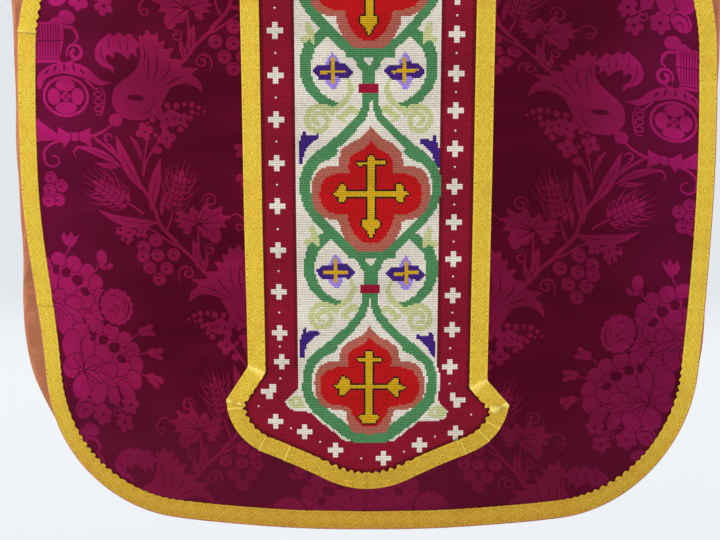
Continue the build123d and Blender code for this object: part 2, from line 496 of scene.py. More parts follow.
THREADS = {
    "cream": (246, 235, 217), "crimson": (150, 14, 42), "red": (204, 14, 20), "rose": (190, 102, 84),
    "green": (84, 146, 92), "pale": (212, 216, 152), "purple": (70, 34, 128), "lilac": (172, 144, 235),
    "gold": (226, 176, 22), "black": (32, 27, 22), "clasp": (168, 14, 52),
}
CODES = {name: index for index, name in enumerate(THREADS)}


class Chart:
    def __init__(self, rows):
        columns = 2 * CHART_HALF
        self.code = np.full((rows, columns), CODES["cream"])
        self.column, self.row = np.meshgrid(np.arange(columns) - CHART_HALF + 0.5, np.arange(rows) + 0.5)
        self.start_at(0, 0)

    def start_at(self, x, row):
        self.x, self.y = self.column - x, self.row - row

    def polygon(self, points):
        return inside(np.asarray(points, float), self.x, self.y)

    def block(self, x0, x1, y0, y1):
        return (self.x > x0) & (self.x < x1) & (self.y > y0) & (self.y < y1)

    def oval(self, x, y, rx, ry):
        return ((self.x - x) / rx) ** 2 + ((self.y - y) / ry) ** 2 < 1

    def line(self, points, widths):
        """Stitches within half the width of a broken line; the width changes evenly along it."""
        points = np.asarray(points, float)
        widths = np.interp(np.linspace(0, 1, len(points)), np.linspace(0, 1, len(widths)), widths)
        mask = np.zeros(self.x.shape, bool)
        for a, b, wide_a, wide_b in zip(points, points[1:], widths, widths[1:]):
            along = b - a
            t = ((self.x - a[0]) * along[0] + (self.y - a[1]) * along[1]) / along.dot(along)
            t = np.clip(t, 0, 1)
            gap = np.hypot(self.x - a[0] - t * along[0], self.y - a[1] - t * along[1])
            mask |= gap < (wide_a + (wide_b - wide_a) * t) / 2
        return mask

    def stitch(self, name, mask):
        self.code[mask] = CODES[name]

    def patch(self, name, points, side=1):
        """A filled outline, mirrored when side is -1."""
        self.stitch(name, self.polygon(flipped(points, side)))

    def ribbon(self, name, points, widths, side=1):
        """A broken line with a width, mirrored when side is -1."""
        self.stitch(name, self.line(flipped(points, side), widths))

    def outlined(self, name, mask):
        """A figure with a black outline one stitch wide."""
        grown = mask.copy()
        for rows, columns in ((1, 0), (-1, 0), (0, 1), (0, -1)):
            grown |= np.roll(mask, (rows, columns), (0, 1))
        self.stitch("black", grown)
        self.stitch(name, mask)


QUATREFOIL = [(0, 29.6), (3, 26), (6, 24), (9.5, 22.3), (12, 19.5), (12.6, 15), (12, 11.7), (19, 11.5),
              (24.5, 9.5), (27.8, 5.5), (28.7, 0), (28, -5), (25, -9.3), (20, -11.3), (13, -11.7),
              (12.5, -15), (11, -19), (8.5, -23.5), (5, -27), (0, -28)]
ROSE_BORDER = [(0, 38), (2.2, 34.5), (6, 31), (12, 28.2), (16.3, 24.5), (17.8, 19.5), (18, 16),
               (24, 15.6), (29, 13.6), (32, 9), (33.2, 3), (33, -3), (31.4, -8.5), (27.6, -12.6),
               (22.5, -14.6), (17.7, -15), (17, -20), (14.5, -25), (10.8, -29.5), (7, -32.3),
               (0, -32.3)]
VINE = [(2.3, 55), (2.6, 49), (5, 42.5), (11, 36), (17.4, 30), (23, 25), (29.8, 19.8), (34.6, 14),
        (36.7, 7.5), (36.7, 1), (34.4, -7), (29.8, -13.5), (23.2, -20.8), (17.3, -26.5), (11.5, -32),
        (5, -36.5), (3.4, -41)]
FOOT_VINE = [(2.3, 55), (2.6, 49), (5, 42.3), (11, 34.5), (18.5, 27.5), (26.5, 20.9), (33.6, 14.2),
             (36, 6.6), (36, -2), (34.4, -8), (30, -13.5), (24.2, -18.5), (17.5, -23.5), (12, -28),
             (7, -30.8), (0, -31)]
FOOT_ROSE = [(x * 0.96, y * 0.955) for x, y in ROSE_BORDER[:15]]
FOOT_ROSE += [(13.6, -14.6), (13, -20), (11.4, -25), (9, -28.2), (0, -28.6)]

UPRIGHT_PETALS = [(0, 10.2), (3.4, 5.8), (4.4, 2), (4.2, -5.2), (1.6, -9.8), (-1, -9.8), (-4.2, -5.4),
                  (-4.4, 2), (-3.2, 5.6)]
LEVEL_PETALS = [(-11.5, 0), (-8, 3.4), (-2, 3.2), (-1.8, 4.6), (6.4, 4.4), (11.5, -1), (7.5, -4.6),
                (1.8, -3), (-1.8, -4.8), (-7, -5)]


def both_ways(half_points):
    """A closed outline from its right half."""
    return list(half_points) + [(-x, y) for x, y in reversed(half_points)]


def flipped(points, side):
    return [(side * x, y) for x, y in points]


def budded_cross(chart):
    """Cross with budded arms."""
    mask = chart.block(-2, 2, -17, 21) | chart.block(-17, 18, -1.5, 1.5) | chart.block(-1.3, 1.6, 20, 22)
    mask |= chart.line([(-6.5, 17), (7, 17.4)], [1.9])
    bud = [(21.5, 0.4), (18.3, 2.2), (17.6, 5), (14.6, 5.4), (13.8, 2), (13.8, -1.6), (15, -4.6),
           (17.8, -4.6), (18.3, -1.6)]
    mask |= chart.polygon(bud) | chart.polygon(flipped(bud, -1))
    mask |= chart.polygon([(-4.4, -14.5), (4.6, -14.5), (4.8, -18), (2.4, -20), (0.6, -24.5),
                           (-0.6, -24.5), (-2.4, -20), (-4.8, -18)])
    chart.outlined("gold", mask)


def footed_cross(chart):
    """Cross with arrow-shaped arms that stands on a spread foot."""
    mask = chart.block(-2, 2, -18, 21) | chart.block(-16, 16.5, -1.5, 1.5)
    mask |= chart.line([(-6.2, 16.3), (6.2, 15.8)], [1.9])
    head = [(21, -0.8), (17, 1.4), (16.4, 5.2), (14.8, 5.2), (11, 2), (11, -2), (15.4, -6.4),
            (16.8, -6.4), (17, -2.4)]
    mask |= chart.polygon(head) | chart.polygon([(-x, y + 1) for x, y in head])
    mask |= chart.polygon([(-6.8, -18), (-3, -16.6), (3, -16.6), (6, -18.4), (3, -21.8), (-3.6, -21.8)])
    chart.outlined("gold", mask)


def medallion(chart, foot=False):
    """Cross in a quatrefoil, a rose border and a vine; the lowest one of a panel has its own form."""
    vine = FOOT_VINE if foot else VINE
    chart.patch("cream", both_ways(vine))
    if foot:
        for side in (-1, 1):
            chart.ribbon("cream", vine[3:-2], [8.6, 8.6, 10.4], side)
    for side in (-1, 1):
        slim = 1.0 if side < 0 else 0.86
        widths = [4 * slim, 5.4 * slim, 6.6 * slim, 6 * slim, 5.6 * slim, 5.4]
        chart.ribbon("green", vine, [4, 5, 5.6, 5.4, 7, 7.6, 6.4] if foot else widths, side)
        chart.patch("green", [(18, 25), (19, 21.5), (24, 18.6), (31, 16.4), (34, 14), (24, 23)], side)
    chart.patch("rose", both_ways(FOOT_ROSE if foot else ROSE_BORDER))
    chart.patch("red", both_ways([(x * 0.9, y * 0.87) if y < -12 and foot else (x, y)
                                  for x, y in QUATREFOIL]))
    if foot:
        footed_cross(chart)
    else:
        budded_cross(chart)


def foot_ground(chart):
    """Cream ground round the lowest medallion, with a leaf in each of its two corners."""
    chart.patch("cream", [
        (-41, 10), (-41, -1), (-44.5, -4.5), (-48.8, -9.5), (-47.5, -13), (-42.5, -15.2), (-34, -15.6),
        (-9, -33), (9, -33), (29, -21), (38, -21.3), (44, -19.5), (45.6, -15.5), (40.5, -10),
        (38.7, -4), (38.7, 10)])
    for x, y in ((-41.5, -9.5), (39, -15.5)):
        chart.stitch("pale", chart.oval(x, y, 5.6, 4))
        chart.stitch("cream", chart.oval(x - 1, y, 1.2, 1.2))


def corner_wedges(chart):
    """Dark wedges that fill the corners beside the top of a medallion."""
    wedge = [(37.7, 34.7), (36, 34.9), (35.8, 32.4), (29, 33.2), (28.6, 31.3), (32.5, 28.6), (35.8, 25),
             (37.4, 20), (37.8, 16.6), (39.8, 16.6), (40, 27)]
    chart.patch("purple", wedge, -1)
    chart.patch("purple", [(x - 2, y - 2.5) for x, y in wedge])


def spray(chart, side):
    """Side circle with a four-petalled flower, its tendrils and a spiral, below a medallion."""
    x, y = 19.8 * side, -43.8
    branch = [(21, -21), (27, -25.5), (32.3, -30.5), (34.6, -38), (34.6, -46), (32, -53), (27, -58.5),
              (21, -62), (15.5, -62.3)]
    chart.ribbon("green", branch, [4.5, 6.4, 6.6, 6.2, 5.6, 5, 2.2], side)
    tendril = [(11.5, -48), (9.5, -54), (12.5, -60), (18, -64.5), (26, -65.4)]
    chart.ribbon("pale", tendril, [1.5, 3.6, 3.4, 2], side)
    tendril = [(6, -66.5), (10, -64), (13, -67), (16, -69), (12, -71.5)]
    chart.ribbon("pale", tendril, [3, 4, 3, 1.6], side)
    turn = np.linspace(0, 3.3 * math.pi, 26)
    reach = 8.4 - turn * 0.62
    spiral = [(27.3 + r * math.sin(t - 1.1), -70.6 + r * math.cos(t - 1.1)) for r, t in zip(reach, turn)]
    chart.ribbon("pale", spiral, [3.2, 3, 2.6], side)
    chart.ribbon("pale", [(33, -19.5), (31.5, -24.5), (30, -29)], [3.4, 4.4, 1.5], side)
    chart.ribbon("pale", [(31.5, -25), (36, -27.5)], [2.6, 3.6], side)
    for name, petals in (("lilac", UPRIGHT_PETALS), ("purple", LEVEL_PETALS)):
        chart.patch(name, [(x + px, y + py) for px, py in petals])
    chart.ribbon("gold", [(x, y + 6.2), (x, y - 6)], [2.1])
    chart.ribbon("gold", [(x - 6.3, y - 0.6), (x + 6.4, y + 0.5 * side)], [1.9])


def stem(chart):
    chart.stitch("green", chart.block(-13, 14, -36.6, -32.2) | chart.block(-3.8, 3.8, -59.5, -36))
    chart.patch("cream", [(-3.4, -36.4), (3.4, -36.4), (1, -40.4), (-1, -40.4)])
    chart.stitch("clasp", chart.block(-5.4, 5.4, -56.2, -51.2))


def small_cross(chart, x, y):
    chart.start_at(x, y)
    chart.stitch("cream", chart.block(-4.5, 4.5, -1.5, 1.5) | chart.block(-1.5, 1.5, -4.5, 4.5))


def small_dot(chart, x, y):
    chart.start_at(x, y)
    chart.stitch("cream", chart.block(-0.8, 0.8, -0.8, 0.8))


def nearest_row(h):
    """The middle of the row of stitches at a height above the hem."""
    return round((h - CHART_FOOT) / STITCH) + 0.5


def nearest_column(x):
    return math.floor(x / STITCH) + 0.5


def border_crosses(chart, rows):
    """Crosses with dots between them, up both borders and round the foot."""
    for column, first, pitch in ((-50.5, 189.0, 38.3), (48.5, 191.0, 32.9)):
        for h in np.arange(first, CHART_FOOT + rows * STITCH, pitch):
            small_cross(chart, column, nearest_row(h))
            small_dot(chart, column, nearest_row(h + pitch / 2))
    for x, h in ((-79, 162), (-86, 104), (-58, 94), (-29, 77), (15, 69), (48, 81), (82, 93), (75, 157)):
        small_cross(chart, nearest_column(x), nearest_row(h))
    for x, h in ((-101, 119), (-71, 97), (-44, 85), (-6, 69), (35, 75), (63, 89), (96, 110), (76, 141),
                 (-80, 146), (76, 174), (-80, 175)):
        small_dot(chart, nearest_column(x), nearest_row(h))
    hooked = [(-4.5, 1.5), (-4.5, 4.5), (-1, 4.5), (-1, 1.5), (4.5, 1.5), (4.5, -1.5), (1.5, -1.5),
              (1.5, -4.5), (-2.5, -4.5), (-2.5, 0), (-4.5, 0)]
    for x, h, side in ((-91, 133, -1), (84, 125, 1)):
        chart.start_at(nearest_column(x), nearest_row(h))
        chart.patch("cream", hooked, side)


def needlework_chart(half):
    """The whole chart, with each medallion lapping over the one above it."""
    rows = int((half.length - CHART_TOP - CHART_FOOT) / STITCH)
    chart = Chart(rows)
    foot_row = (MEDALLION_FOOT - CHART_FOOT) / STITCH
    chart.stitch("crimson", (abs(chart.column) > CREAM_HALF) | (chart.row < foot_row + 8))
    stems = []
    for row in np.arange(foot_row, rows + 60, MEDALLION_PITCH / STITCH)[::-1]:
        at_foot = row < foot_row + 1
        step = round((row - foot_row) * STITCH / MEDALLION_PITCH)
        over = MEDALLION_X + 0.7 * math.sin(2.2 * step)
        chart.start_at(over, row)
        if at_foot:
            foot_ground(chart)
        else:
            spray(chart, -1)
            chart.start_at(over, row - (step % 2))
            spray(chart, 1)
            chart.start_at(over, row)
        corner_wedges(chart)
        medallion(chart, at_foot)
        if not at_foot:
            stems.append((over, row))
    for over, row in stems:
        chart.start_at(over, row)
        stem(chart)
    border_crosses(chart, rows)
    return chart


def plain_back(half, flat, faces):
    """A coarse back for a sheet of stitches, with the wall that joins the two round their edge."""
    following = dict(boundary_edges(faces))
    loop = [min(following)]
    while following[loop[-1]] != loop[0]:
        loop.append(following[loop[-1]])
    x, s = np.meshgrid(np.arange(-114, 115, BACK_STEP), np.arange(70, half.length, BACK_STEP))
    coarse = np.stack([x, s], -1).reshape(-1, 2)
    coarse = coarse[inside(flat[loop], coarse[:, 0], coarse[:, 1])]
    points = [Vector(p) for p in np.concatenate([flat[loop], coarse])]
    order = list(range(len(loop)))
    if signed_area(flat[loop]) < 0:
        order.reverse()
    verts, _, tris, origins, _, _ = delaunay_2d_cdt(points, [], [order], 1, 0.01)
    behind = {origin: index + len(flat) for index, found in enumerate(origins) for origin in found}
    closing = [tuple(v + len(flat) for v in reversed(tri)) for tri in tris]
    for a, b in zip(range(len(loop)), [*range(1, len(loop)), 0]):
        closing.append((loop[b], loop[a], behind[a], behind[b]))
    return np.array([tuple(v) for v in verts]), closing


def needlework(half):
    """Stitched canvas: one face for each stitch in front, and a plain back that closes it."""
    chart = needlework_chart(half)
    rows, columns = chart.code.shape
    x = (np.arange(columns + 1) - CHART_HALF) * STITCH
    s = half.length - CHART_FOOT - np.arange(rows + 1) * STITCH
    grid = np.stack(np.meshgrid(x, s), -1).reshape(-1, 2)
    middle_x, middle_s = chart.column * STITCH, half.length - CHART_FOOT - chart.row * STITCH
    edges = [chain(column_foot(half, side), [(COLUMN_HALF, 60)]) for side in (1, -1)]
    cover, full_tone_outline = (np.concatenate([inset(edges[0], depth), mirror(inset(edges[1], depth))])
                    for depth in (GALLOON - UNDERLAP, GALLOON + DARK_RIM_WIDTH))
    kept = inside(cover, middle_x, middle_s)
    kept &= middle_s > ring_s(half, middle_x) - 1
    first = np.arange(rows)[:, None] * (columns + 1) + np.arange(columns)
    corners = np.stack([first, first + 1, first + columns + 2, first + columns + 1], -1)[kept]
    used, faces = np.unique(corners, return_inverse=True)
    flat = grid[used]
    faces = [tuple(f) for f in faces.reshape(-1, 4).tolist()]
    stitches = len(faces)

    back_flat, back_faces = plain_back(half, flat, faces)
    faces += back_faces
    pile = NEEDLEWORK_PILE + rng.uniform(-0.12, 0.12, len(flat))
    points = np.concatenate([half.place(flat[:, 0], flat[:, 1], pile),
                             half.place(back_flat[:, 0], back_flat[:, 1], BACK_OFFSET)])
    uv = np.concatenate([flat, back_flat]) * MM
    obj = make_mesh(half.name + "_needlework_canvas", points, faces, uv)

    palette = np.array([srgb(*THREADS[name])[:3] for name in THREADS])
    patch = np.sin(middle_x / 23 + 1.3) * np.sin(middle_s / 17 + middle_x / 41)
    patch = patch + 0.6 * np.sin(middle_s / 5.3 + np.sin(middle_x / 60))
    # Stitches along the galloon's inner edge, and crimson stitches beside the cream strip, are made darker.
    beside_cream = abs(abs(chart.column) - CREAM_HALF - 0.6) < 1.2
    darker_stitches = ~inside(full_tone_outline, middle_x, middle_s)
    darker_stitches |= (chart.code == CODES["crimson"]) & beside_cream & (chart.row > 70)
    shade = (1 + 0.07 * patch - 0.4 * darker_stitches)[kept] + rng.normal(0, 0.05, stitches)
    colours = np.clip(palette[chart.code[kept]] * shade[:, None], 0, 1)
    colours = np.concatenate([colours, np.tile(srgb(196, 184, 158)[:3], (len(faces) - stitches, 1))])
    counts = np.array([len(f) for f in faces])
    painted = np.concatenate([np.repeat(colours, counts, axis=0), np.ones((counts.sum(), 1))], 1)
    layer = obj.data.color_attributes.new("thread", "FLOAT_COLOR", "CORNER")
    layer.data.foreach_set("color", painted.astype(np.float32).ravel())
    return face_outwards(obj)


# ---- galloon: a woven band with raised selvedges, laid along a path ----
BAND_ACROSS = np.array([0, 0.25, 0.8, 1.7, 2.3, 3.2, 5.5, 8.5, 11.5, 13.8, 14.7, 15.3, 16.2, 16.75, 17.0])
BAND_RISE = np.array([0.35, 0.8, 1.05, 1.0, 0.75, 0.95, 1.05, 1.1, 1.05, 0.95, 0.75, 1.0, 1.05, 0.8, 0.35])
BAND_MIDDLE = 7                # which of the stations across lies on the centre line
BAND_STEP = 3.0
HALF_FOLD = 0.35               # how far a sewn fold's step reaches along the band


def tube_faces(count, stations):
    """Faces of a closed band: each of its rings is its stations on top, then the same ones below."""
    size = 2 * stations
    faces = []
    for start in range(0, (count - 1) * size, size):
        for j in range(size):
            k = (j + 1) % size
            faces.append((start + j, start + k, start + size + k, start + size + j))
    for start in (0, (count - 1) * size):
        for j in range(stations - 1):
            k = size - 1 - j
            faces.append((start + j, start + k, start + k - 1, start + j + 1))
    return faces


def band(name, place, rows, along, lift=0.12, hem_z=-1e6, laps=False, folds=()):
    """A closed woven band. rows[i, j] is a flat point: i goes along the band and j across it.

    hem_z is the height just above which its colour gets painted shade, laps lifts its first end over its
    neighbour, and folds are the places along it where it is folded over itself."""
    stations = rows.shape[1]
    marks = lengths_along(rows[:, BAND_MIDDLE])
    along = np.broadcast_to(np.asarray(along, float).reshape(len(rows), -1), rows.shape[:2])
    if folds:
        lines = np.add.outer(np.array(folds, float), (-0.7, 0, 0.7)).ravel()
        finer = np.union1d(marks[np.abs(marks[:, None] - lines).min(1) > HALF_FOLD], lines)
        along = np.stack([np.interp(finer, marks, v) for v in along.T], 1)
        rows = np.stack([np.stack([np.interp(finer, marks, v) for v in part.T], 1)
                         for part in rows.transpose(2, 0, 1)], -1)
    count = len(rows)
    path = np.diff(rows[:, BAND_MIDDLE], axis=0)
    heading = np.unwrap(np.arctan2(path[:, 1], path[:, 0]))
    turn = np.degrees(np.abs(np.r_[0, np.diff(heading), 0]))
    fold = 0.8 * np.clip((turn - 12) / 20, 0, 1)
    curved = np.clip(np.convolve(np.clip(turn, 0, 4), np.ones(15) / 15, "same") / 1.1, 0, 1)
    run = lengths_along(rows[:, BAND_MIDDLE])
    # painted highlight along mitres and sewn folds, where the braid is also rubbed
    crease = np.clip(fold * 1.5, 0, 1)
    for line in folds:
        before = line - run
        fold = np.maximum(fold, np.where(before > -HALF_FOLD, 1.1 * np.exp(-np.abs(before) / 5), 0))
        crease = np.maximum(crease, np.abs(before) < HALF_FOLD)
    wave = np.sin(run / 1.3 + 1.3 * np.sin(run / 13)) * (0.6 + 0.4 * np.sin(run / 21))
    pucker = (curved * wave)[:, None] * (BAND_ACROSS / GALLOON) ** 2
    rows = rows + 2.1 * pucker[..., None] * (rows[:, -1:] - rows[:, :1]) / GALLOON
    lift = lift + 1.3 * np.abs(pucker) + fold[:, None]
    if laps:
        lift[:4] += np.array([1.05, 1.05, 0.9, 0.35])[:, None]
    top = place(rows[..., 0], rows[..., 1], lift + BAND_RISE)
    low = place(rows[..., 0], rows[..., 1], lift)
    around = np.concatenate([top, low[:, ::-1]], 1)
    across = np.broadcast_to(BAND_ACROSS, (count, stations))
    uv = np.stack([np.concatenate([v, v[:, ::-1]], 1) for v in (along, across)], -1)
    obj = make_mesh(name, around.reshape(-1, 3), tube_faces(count, stations), uv.reshape(-1, 2) * MM)
    # painted shade: this weight darkens the braid over its lowest 150 mm above hem_z
    hem_shade = np.clip(1 - (around[..., 2] / MM - hem_z) / 150, 0, 1)
    for label, values in (("low", hem_shade.ravel()), ("crease", np.repeat(crease, 2 * stations))):
        layer = obj.data.attributes.new(label, "FLOAT", "POINT")
        layer.data.foreach_set("value", values.astype(np.float32))
    return face_outwards(obj)


def edge_band(name, half, paths):
    """Galloon along the edge of a panel: paths are (side, lowest s, highest s) joined end to end."""
    path = resample(panel_edge(half), BAND_STEP)
    rows = []
    for side, low, high in paths:
        steps = np.r_[low, path[(path[:, 1] < low) & (path[:, 1] > high), 1], high]
        part = np.stack([np.interp(-steps, -path[:, 1], path[:, 0]), steps], -1)
        part = inset(part, BAND_ACROSS)
        if low < half.length:
            part[0, :, 1] = low
        else:
            part[0, :, 0] = 0
        if high <= SEAM_HALF:
            part[-1, :, 1] = high
        rows.append(part * (side, 1))
    rows = np.concatenate([rows[0][::-1], rows[1][1:]]) if len(rows) == 2 else rows[0]
    return band(name, half.place, rows, lengths_along(rows[:, BAND_MIDDLE]), hem_z=half.hem_z,
                laps=len(paths) == 1 and half is front)


def column_band(name, half, side):
    """Galloon round one side of the needlework, from the foot's lowest point to the neck galloon."""
    foot = resample(column_foot(half, side), BAND_STEP)
    foot = inset(np.vstack([foot, foot[-1] - (0, 50)]), BAND_ACROSS)[:-1]
    foot[0, :, 0] = 0
    corner = foot[-1]
    top = ring_s(half, corner[:, 0])
    count = int((corner[0, 1] - top[0]) / BAND_STEP)
    t = np.linspace(0, 1, count)[1:, None]
    x = np.tile(corner[:, 0], (count - 1, 1))
    straight = np.stack([x, corner[:, 1] + (top - corner[:, 1]) * t], -1)
    foot_length = lengths_along(foot[:, 0])
    along = np.concatenate([np.tile(foot_length[:, None], len(BAND_ACROSS)),
                            foot_length[-1] + corner[0, 1] - straight[..., 1]])
    rise = np.interp(BAND_ACROSS, [0, 9, GALLOON - UNDERLAP, GALLOON],
                     [0.12, 0.3, NEEDLEWORK_PILE + 0.25, NEEDLEWORK_PILE + 0.3])
    rows = np.concatenate([foot, straight]) * (side, 1)
    folds = (80, 105, 148) if side < 0 else (96, 118, 131)
    return band(name, half.place, rows, along, rise, half.hem_z, folds=folds)


def place_over(x, s, d):
    """Points over the crest: s is negative on the front and positive on the back."""
    return np.where((s < 0)[..., None], front.place(x, -s, d), back.place(x, s, d))


def neck_band():
    """Galloon round the neck opening, from its edge outwards."""
    angles = np.linspace(0, 2 * math.pi, 160)[:, None]
    share = BAND_ACROSS / GALLOON
    x = (NECK[0] + (NECK_GALLOON[0] - NECK[0]) * share) * np.cos(angles)
    y = (NECK[1] + (NECK_GALLOON[1] - NECK[1]) * share) * np.sin(angles)
    s = np.where(y < CREST_Y, -front.s_at_depth(x, y), back.s_at_depth(x, y))
    rows = np.stack([x, s], -1)
    return band("neck_galloon_ring", place_over, rows, np.linspace(0, 560, 160), NEEDLEWORK_PILE * 0.5)


def seam_band(name, side):
    """Galloon over one shoulder seam, between the neck galloon and the arm edge."""
    x = np.linspace(SHOULDER_HALF, NECK_GALLOON[0] - 3, 44)
    s = BAND_ACROSS - SEAM_HALF
    rows = np.stack(np.meshgrid(x, s, indexing="ij"), -1)
    return band(name, place_over, rows * (side, 1), x)


# ---- damask design: one repeat, drawn in millimetres as (x, height above the hem) ----
GLIDE_AXIS = -155.5            # the repeat is a glide: mirrored about this line and dropped
MIRROR_AXIS = -311.0           # the edge strips are the mirror image of what lies inside this line
GLIDE_DROP = 189.4
PANEL_REACH = 360              # no panel is wider than this, measured from its middle


def smooth(points, count=5):
    """A rounder line through a few points."""
    points = np.asarray(points, float)
    padded = np.vstack([2 * points[0] - points[1], points, 2 * points[-1] - points[-2]])
    t = np.linspace(0, 1, count, endpoint=False)[:, None]
    runs = []
    for a, b, c, d in zip(padded, padded[1:], padded[2:], padded[3:]):
        square, cube = 2 * a - 5 * b + 4 * c - d, 3 * b - a - 3 * c + d
        runs.append(0.5 * (2 * b + (c - a) * t + square * t ** 2 + cube * t ** 3))
    return np.vstack([*runs, points[-1:]])


def rotation(degrees, size=1.0):
    c, s = size * math.cos(math.radians(degrees)), size * math.sin(math.radians(degrees))
    return np.array([[c, s], [-s, c]])


class Design:
    """Polygons in drawing order, figure (kind 1) or ground (kind 0), about a movable origin."""

    def __init__(self):
        self.polygons = []
        self.move(0, 0)

    def move(self, x, h, turn=0.0, size=1.0):
        self.frame = rotation(turn, size)
        self.origin = np.array([x, h], float)

    def shape(self, points, kind=1):
        self.polygons.append((np.asarray(points, float) @ self.frame + self.origin, kind))

    def soft(self, points, kind=1):
        """A closed outline rounded between its points."""
        points = np.asarray(points, float)
        looped = smooth(np.vstack([points[-1], points, points[:2]]), 3)
        self.shape(looped[3:-4], kind)

    def disc(self, x, y, rx, ry=None, kind=1, turn=0.0, sides=14):
        a = np.linspace(0, 2 * math.pi, sides, endpoint=False)
        oval = np.stack([rx * np.cos(a), (ry or rx) * np.sin(a)], -1)
        self.shape(oval @ rotation(turn) + (x, y), kind)

    def hoop(self, x, y, rx, ry, width):
        self.disc(x, y, rx, ry, 1, sides=22)
        self.disc(x, y, rx - width, ry - width, 0, sides=22)

    def line(self, points, widths, kind=1):
        """A ribbon along a smooth line; its width changes evenly between the given widths."""
        path = smooth(points)
        ahead = np.gradient(path, axis=0)
        ahead /= np.linalg.norm(ahead, axis=1)[:, None]
        wide = np.interp(np.linspace(0, 1, len(path)), np.linspace(0, 1, len(widths)), widths)
        across = np.stack([-ahead[:, 1], ahead[:, 0]], -1) * wide[:, None] / 2
        self.shape(np.vstack([path + across, (path - across)[::-1]]), kind)

    def marks(self, widths, *drawn):
        """Thin lines of ground across a figure, all of the same widths."""
        for points in drawn:
            self.line(points, widths, 0)

    def leaf(self, base, tip, width, curve=0.0, vein=True):
        """A pointed leaf from base to tip, bowed to one side."""
        base, tip = np.array(base, float), np.array(tip, float)
        side = np.array([base[1] - tip[1], tip[0] - base[0]]) * curve
        middle = [base, *(base + (tip - base) * share + side * 0.8 for share in (0.35, 0.7)), tip]
        self.line(middle, [width * 0.15, width * 0.75, width, width * 0.85, width * 0.5, 0.2])
        if vein:
            self.line([middle[0] * 0.8 + middle[1] * 0.2, middle[1], middle[2]], [0.3, 0.9, 0.2], 0)

    def curl(self, x, y, radius, turns=1.4, start=0.0, width=2.2, hand=1):
        """A spiral tendril that winds in to its centre."""
        a = np.linspace(0, turns * 2 * math.pi, int(8 * turns) + 3)
        reach = radius * (1 - 0.72 * a / a[-1])
        a = math.radians(start) + hand * a
        self.line(np.stack([x + reach * np.cos(a), y + reach * np.sin(a)], -1), [width * 0.5, width, width])

    def petals(self, x, y, count, reach, radius, turn=0.0, eye=0.0):
        for k in range(count):
            a = math.radians(turn + 360 * k / count)
            self.disc(x + reach * math.cos(a), y + reach * math.sin(a), radius, radius * 0.86,
                      turn=math.degrees(a), sides=10)
        if eye:
            self.disc(x, y, eye, kind=0, sides=8)


HORN = [(-21, -1.5), (-19.5, 8.5), (-13, 15.5), (-4.5, 21), (3, 28), (6.5, 36.5), (7, 46), (6, 56.5),
        (10, 55), (13.5, 61), (18, 56), (23, 58.5), (24, 50.5), (29.5, 51.5), (28, 44), (37, 45),
        (33, 36.5), (44.5, 35), (44.5, 28.5), (58.5, 27.5), (52.5, 22.5), (59, 17), (62.5, 6.5),
        (55, 12), (43.5, 13.5), (34.5, 11), (29, 4), (24.5, -5), (19, -12.5), (10, -17), (0, -18),
        (-11.5, -15.5), (-18.5, -9)]
CURLED_LEAF = [(-7, 15.5), (-13.5, 10.5), (-17.5, 2), (-16, -5.5), (-10, -11), (-3.5, -13), (-0.5, -17),
               (-0.5, -11), (-6, -7), (-7, -2), (-4, -0.5), (0, -3.5), (1, 2), (7, 0.5), (14, -4.5),
               (16, 1), (22, -3), (21, 4), (25.5, 7), (21, 13), (16, 18), (11, 15.5), (6, 19), (1, 16),
               (-3, 18.5)]
ARCH = [(-27, 9.5), (-26, 18.5), (-18, 25.5), (-8, 29.5), (3.5, 30), (15, 28.5), (24, 23.5), (31, 17),
        (38, 13.5), (45, 12), (39.5, 11), (34, 9.5), (25.5, 12.5), (20.5, 15.5), (9.5, 18.5),
        (0.5, 20.5), (-9.5, 19.5), (-19.5, 15), (-24, 6.5)]
BOW = [(-15.5, 9), (-7, 3.5), (0, 3.5), (8, 5), (15.5, 8.5), (14.5, -0.5), (16, -10.5), (10, -5.5),
       (3.5, -3), (0, -4), (-5, -3), (-11, -10.5), (-13, -4), (-17.5, -1.5)]
VINE_LEAF = [(-25.5, 12), (-17.5, 13.5), (-13, 9.5), (-8.5, 17.5), (-2, 12), (3.5, 20.5), (9.5, 14.5),
             (20, 18), (18.5, 11), (26.5, 8.5), (20, 4), (23, -1.5), (16, -1.5), (18, -7.5),
             (14.5, -15.5), (9.5, -15.5), (6, -11.5), (0, -10), (-2.5, -3), (-8.5, 0), (-11.5, -7.5),
             (-18, -7.5), (-16.5, -3), (-23.5, -1.5), (-20, 2), (-26.5, 4), (-21.5, 7)]
TULIP = [(-8, 3), (-5, 9), (-1.5, 4.5), (3, 10), (5, 4), (11, 7.5), (6, -1.5), (1.5, -5), (-4.5, -3)]


def horn_of_plenty(art):
    art.move(-208, 399)
    art.soft(HORN)
    art.line([(5, -13.5), (14, -9), (19, 4)], [0.2, 1.0, 0.2], 0)
    art.disc(1, 2, 8, 2.6, 0, -4)
    art.marks([0.3, 1.3, 0.2], [(11, 14), (14, 28), (13, 46)], [(17, 16), (22, 30), (20, 46)],
              [(21, 13), (31, 24), (34, 33)], [(25, 11), (38, 18), (48, 22)],
              [(29, 9), (42, 13), (54, 15)], [(9, 30), (11, 40), (9, 50)])


def curled_leaf(art):
    art.move(-226, 439)
    art.soft(CURLED_LEAF)
    art.line([(-11, 8), (-11.5, 0), (-7, -9)], [0.3, 1.2, 0.2], 0)
    art.marks([0.4, 1.0], [(-4, 13), (-4, 5)], [(6, 12), (7, 5)], [(14, 12), (13, 3)])


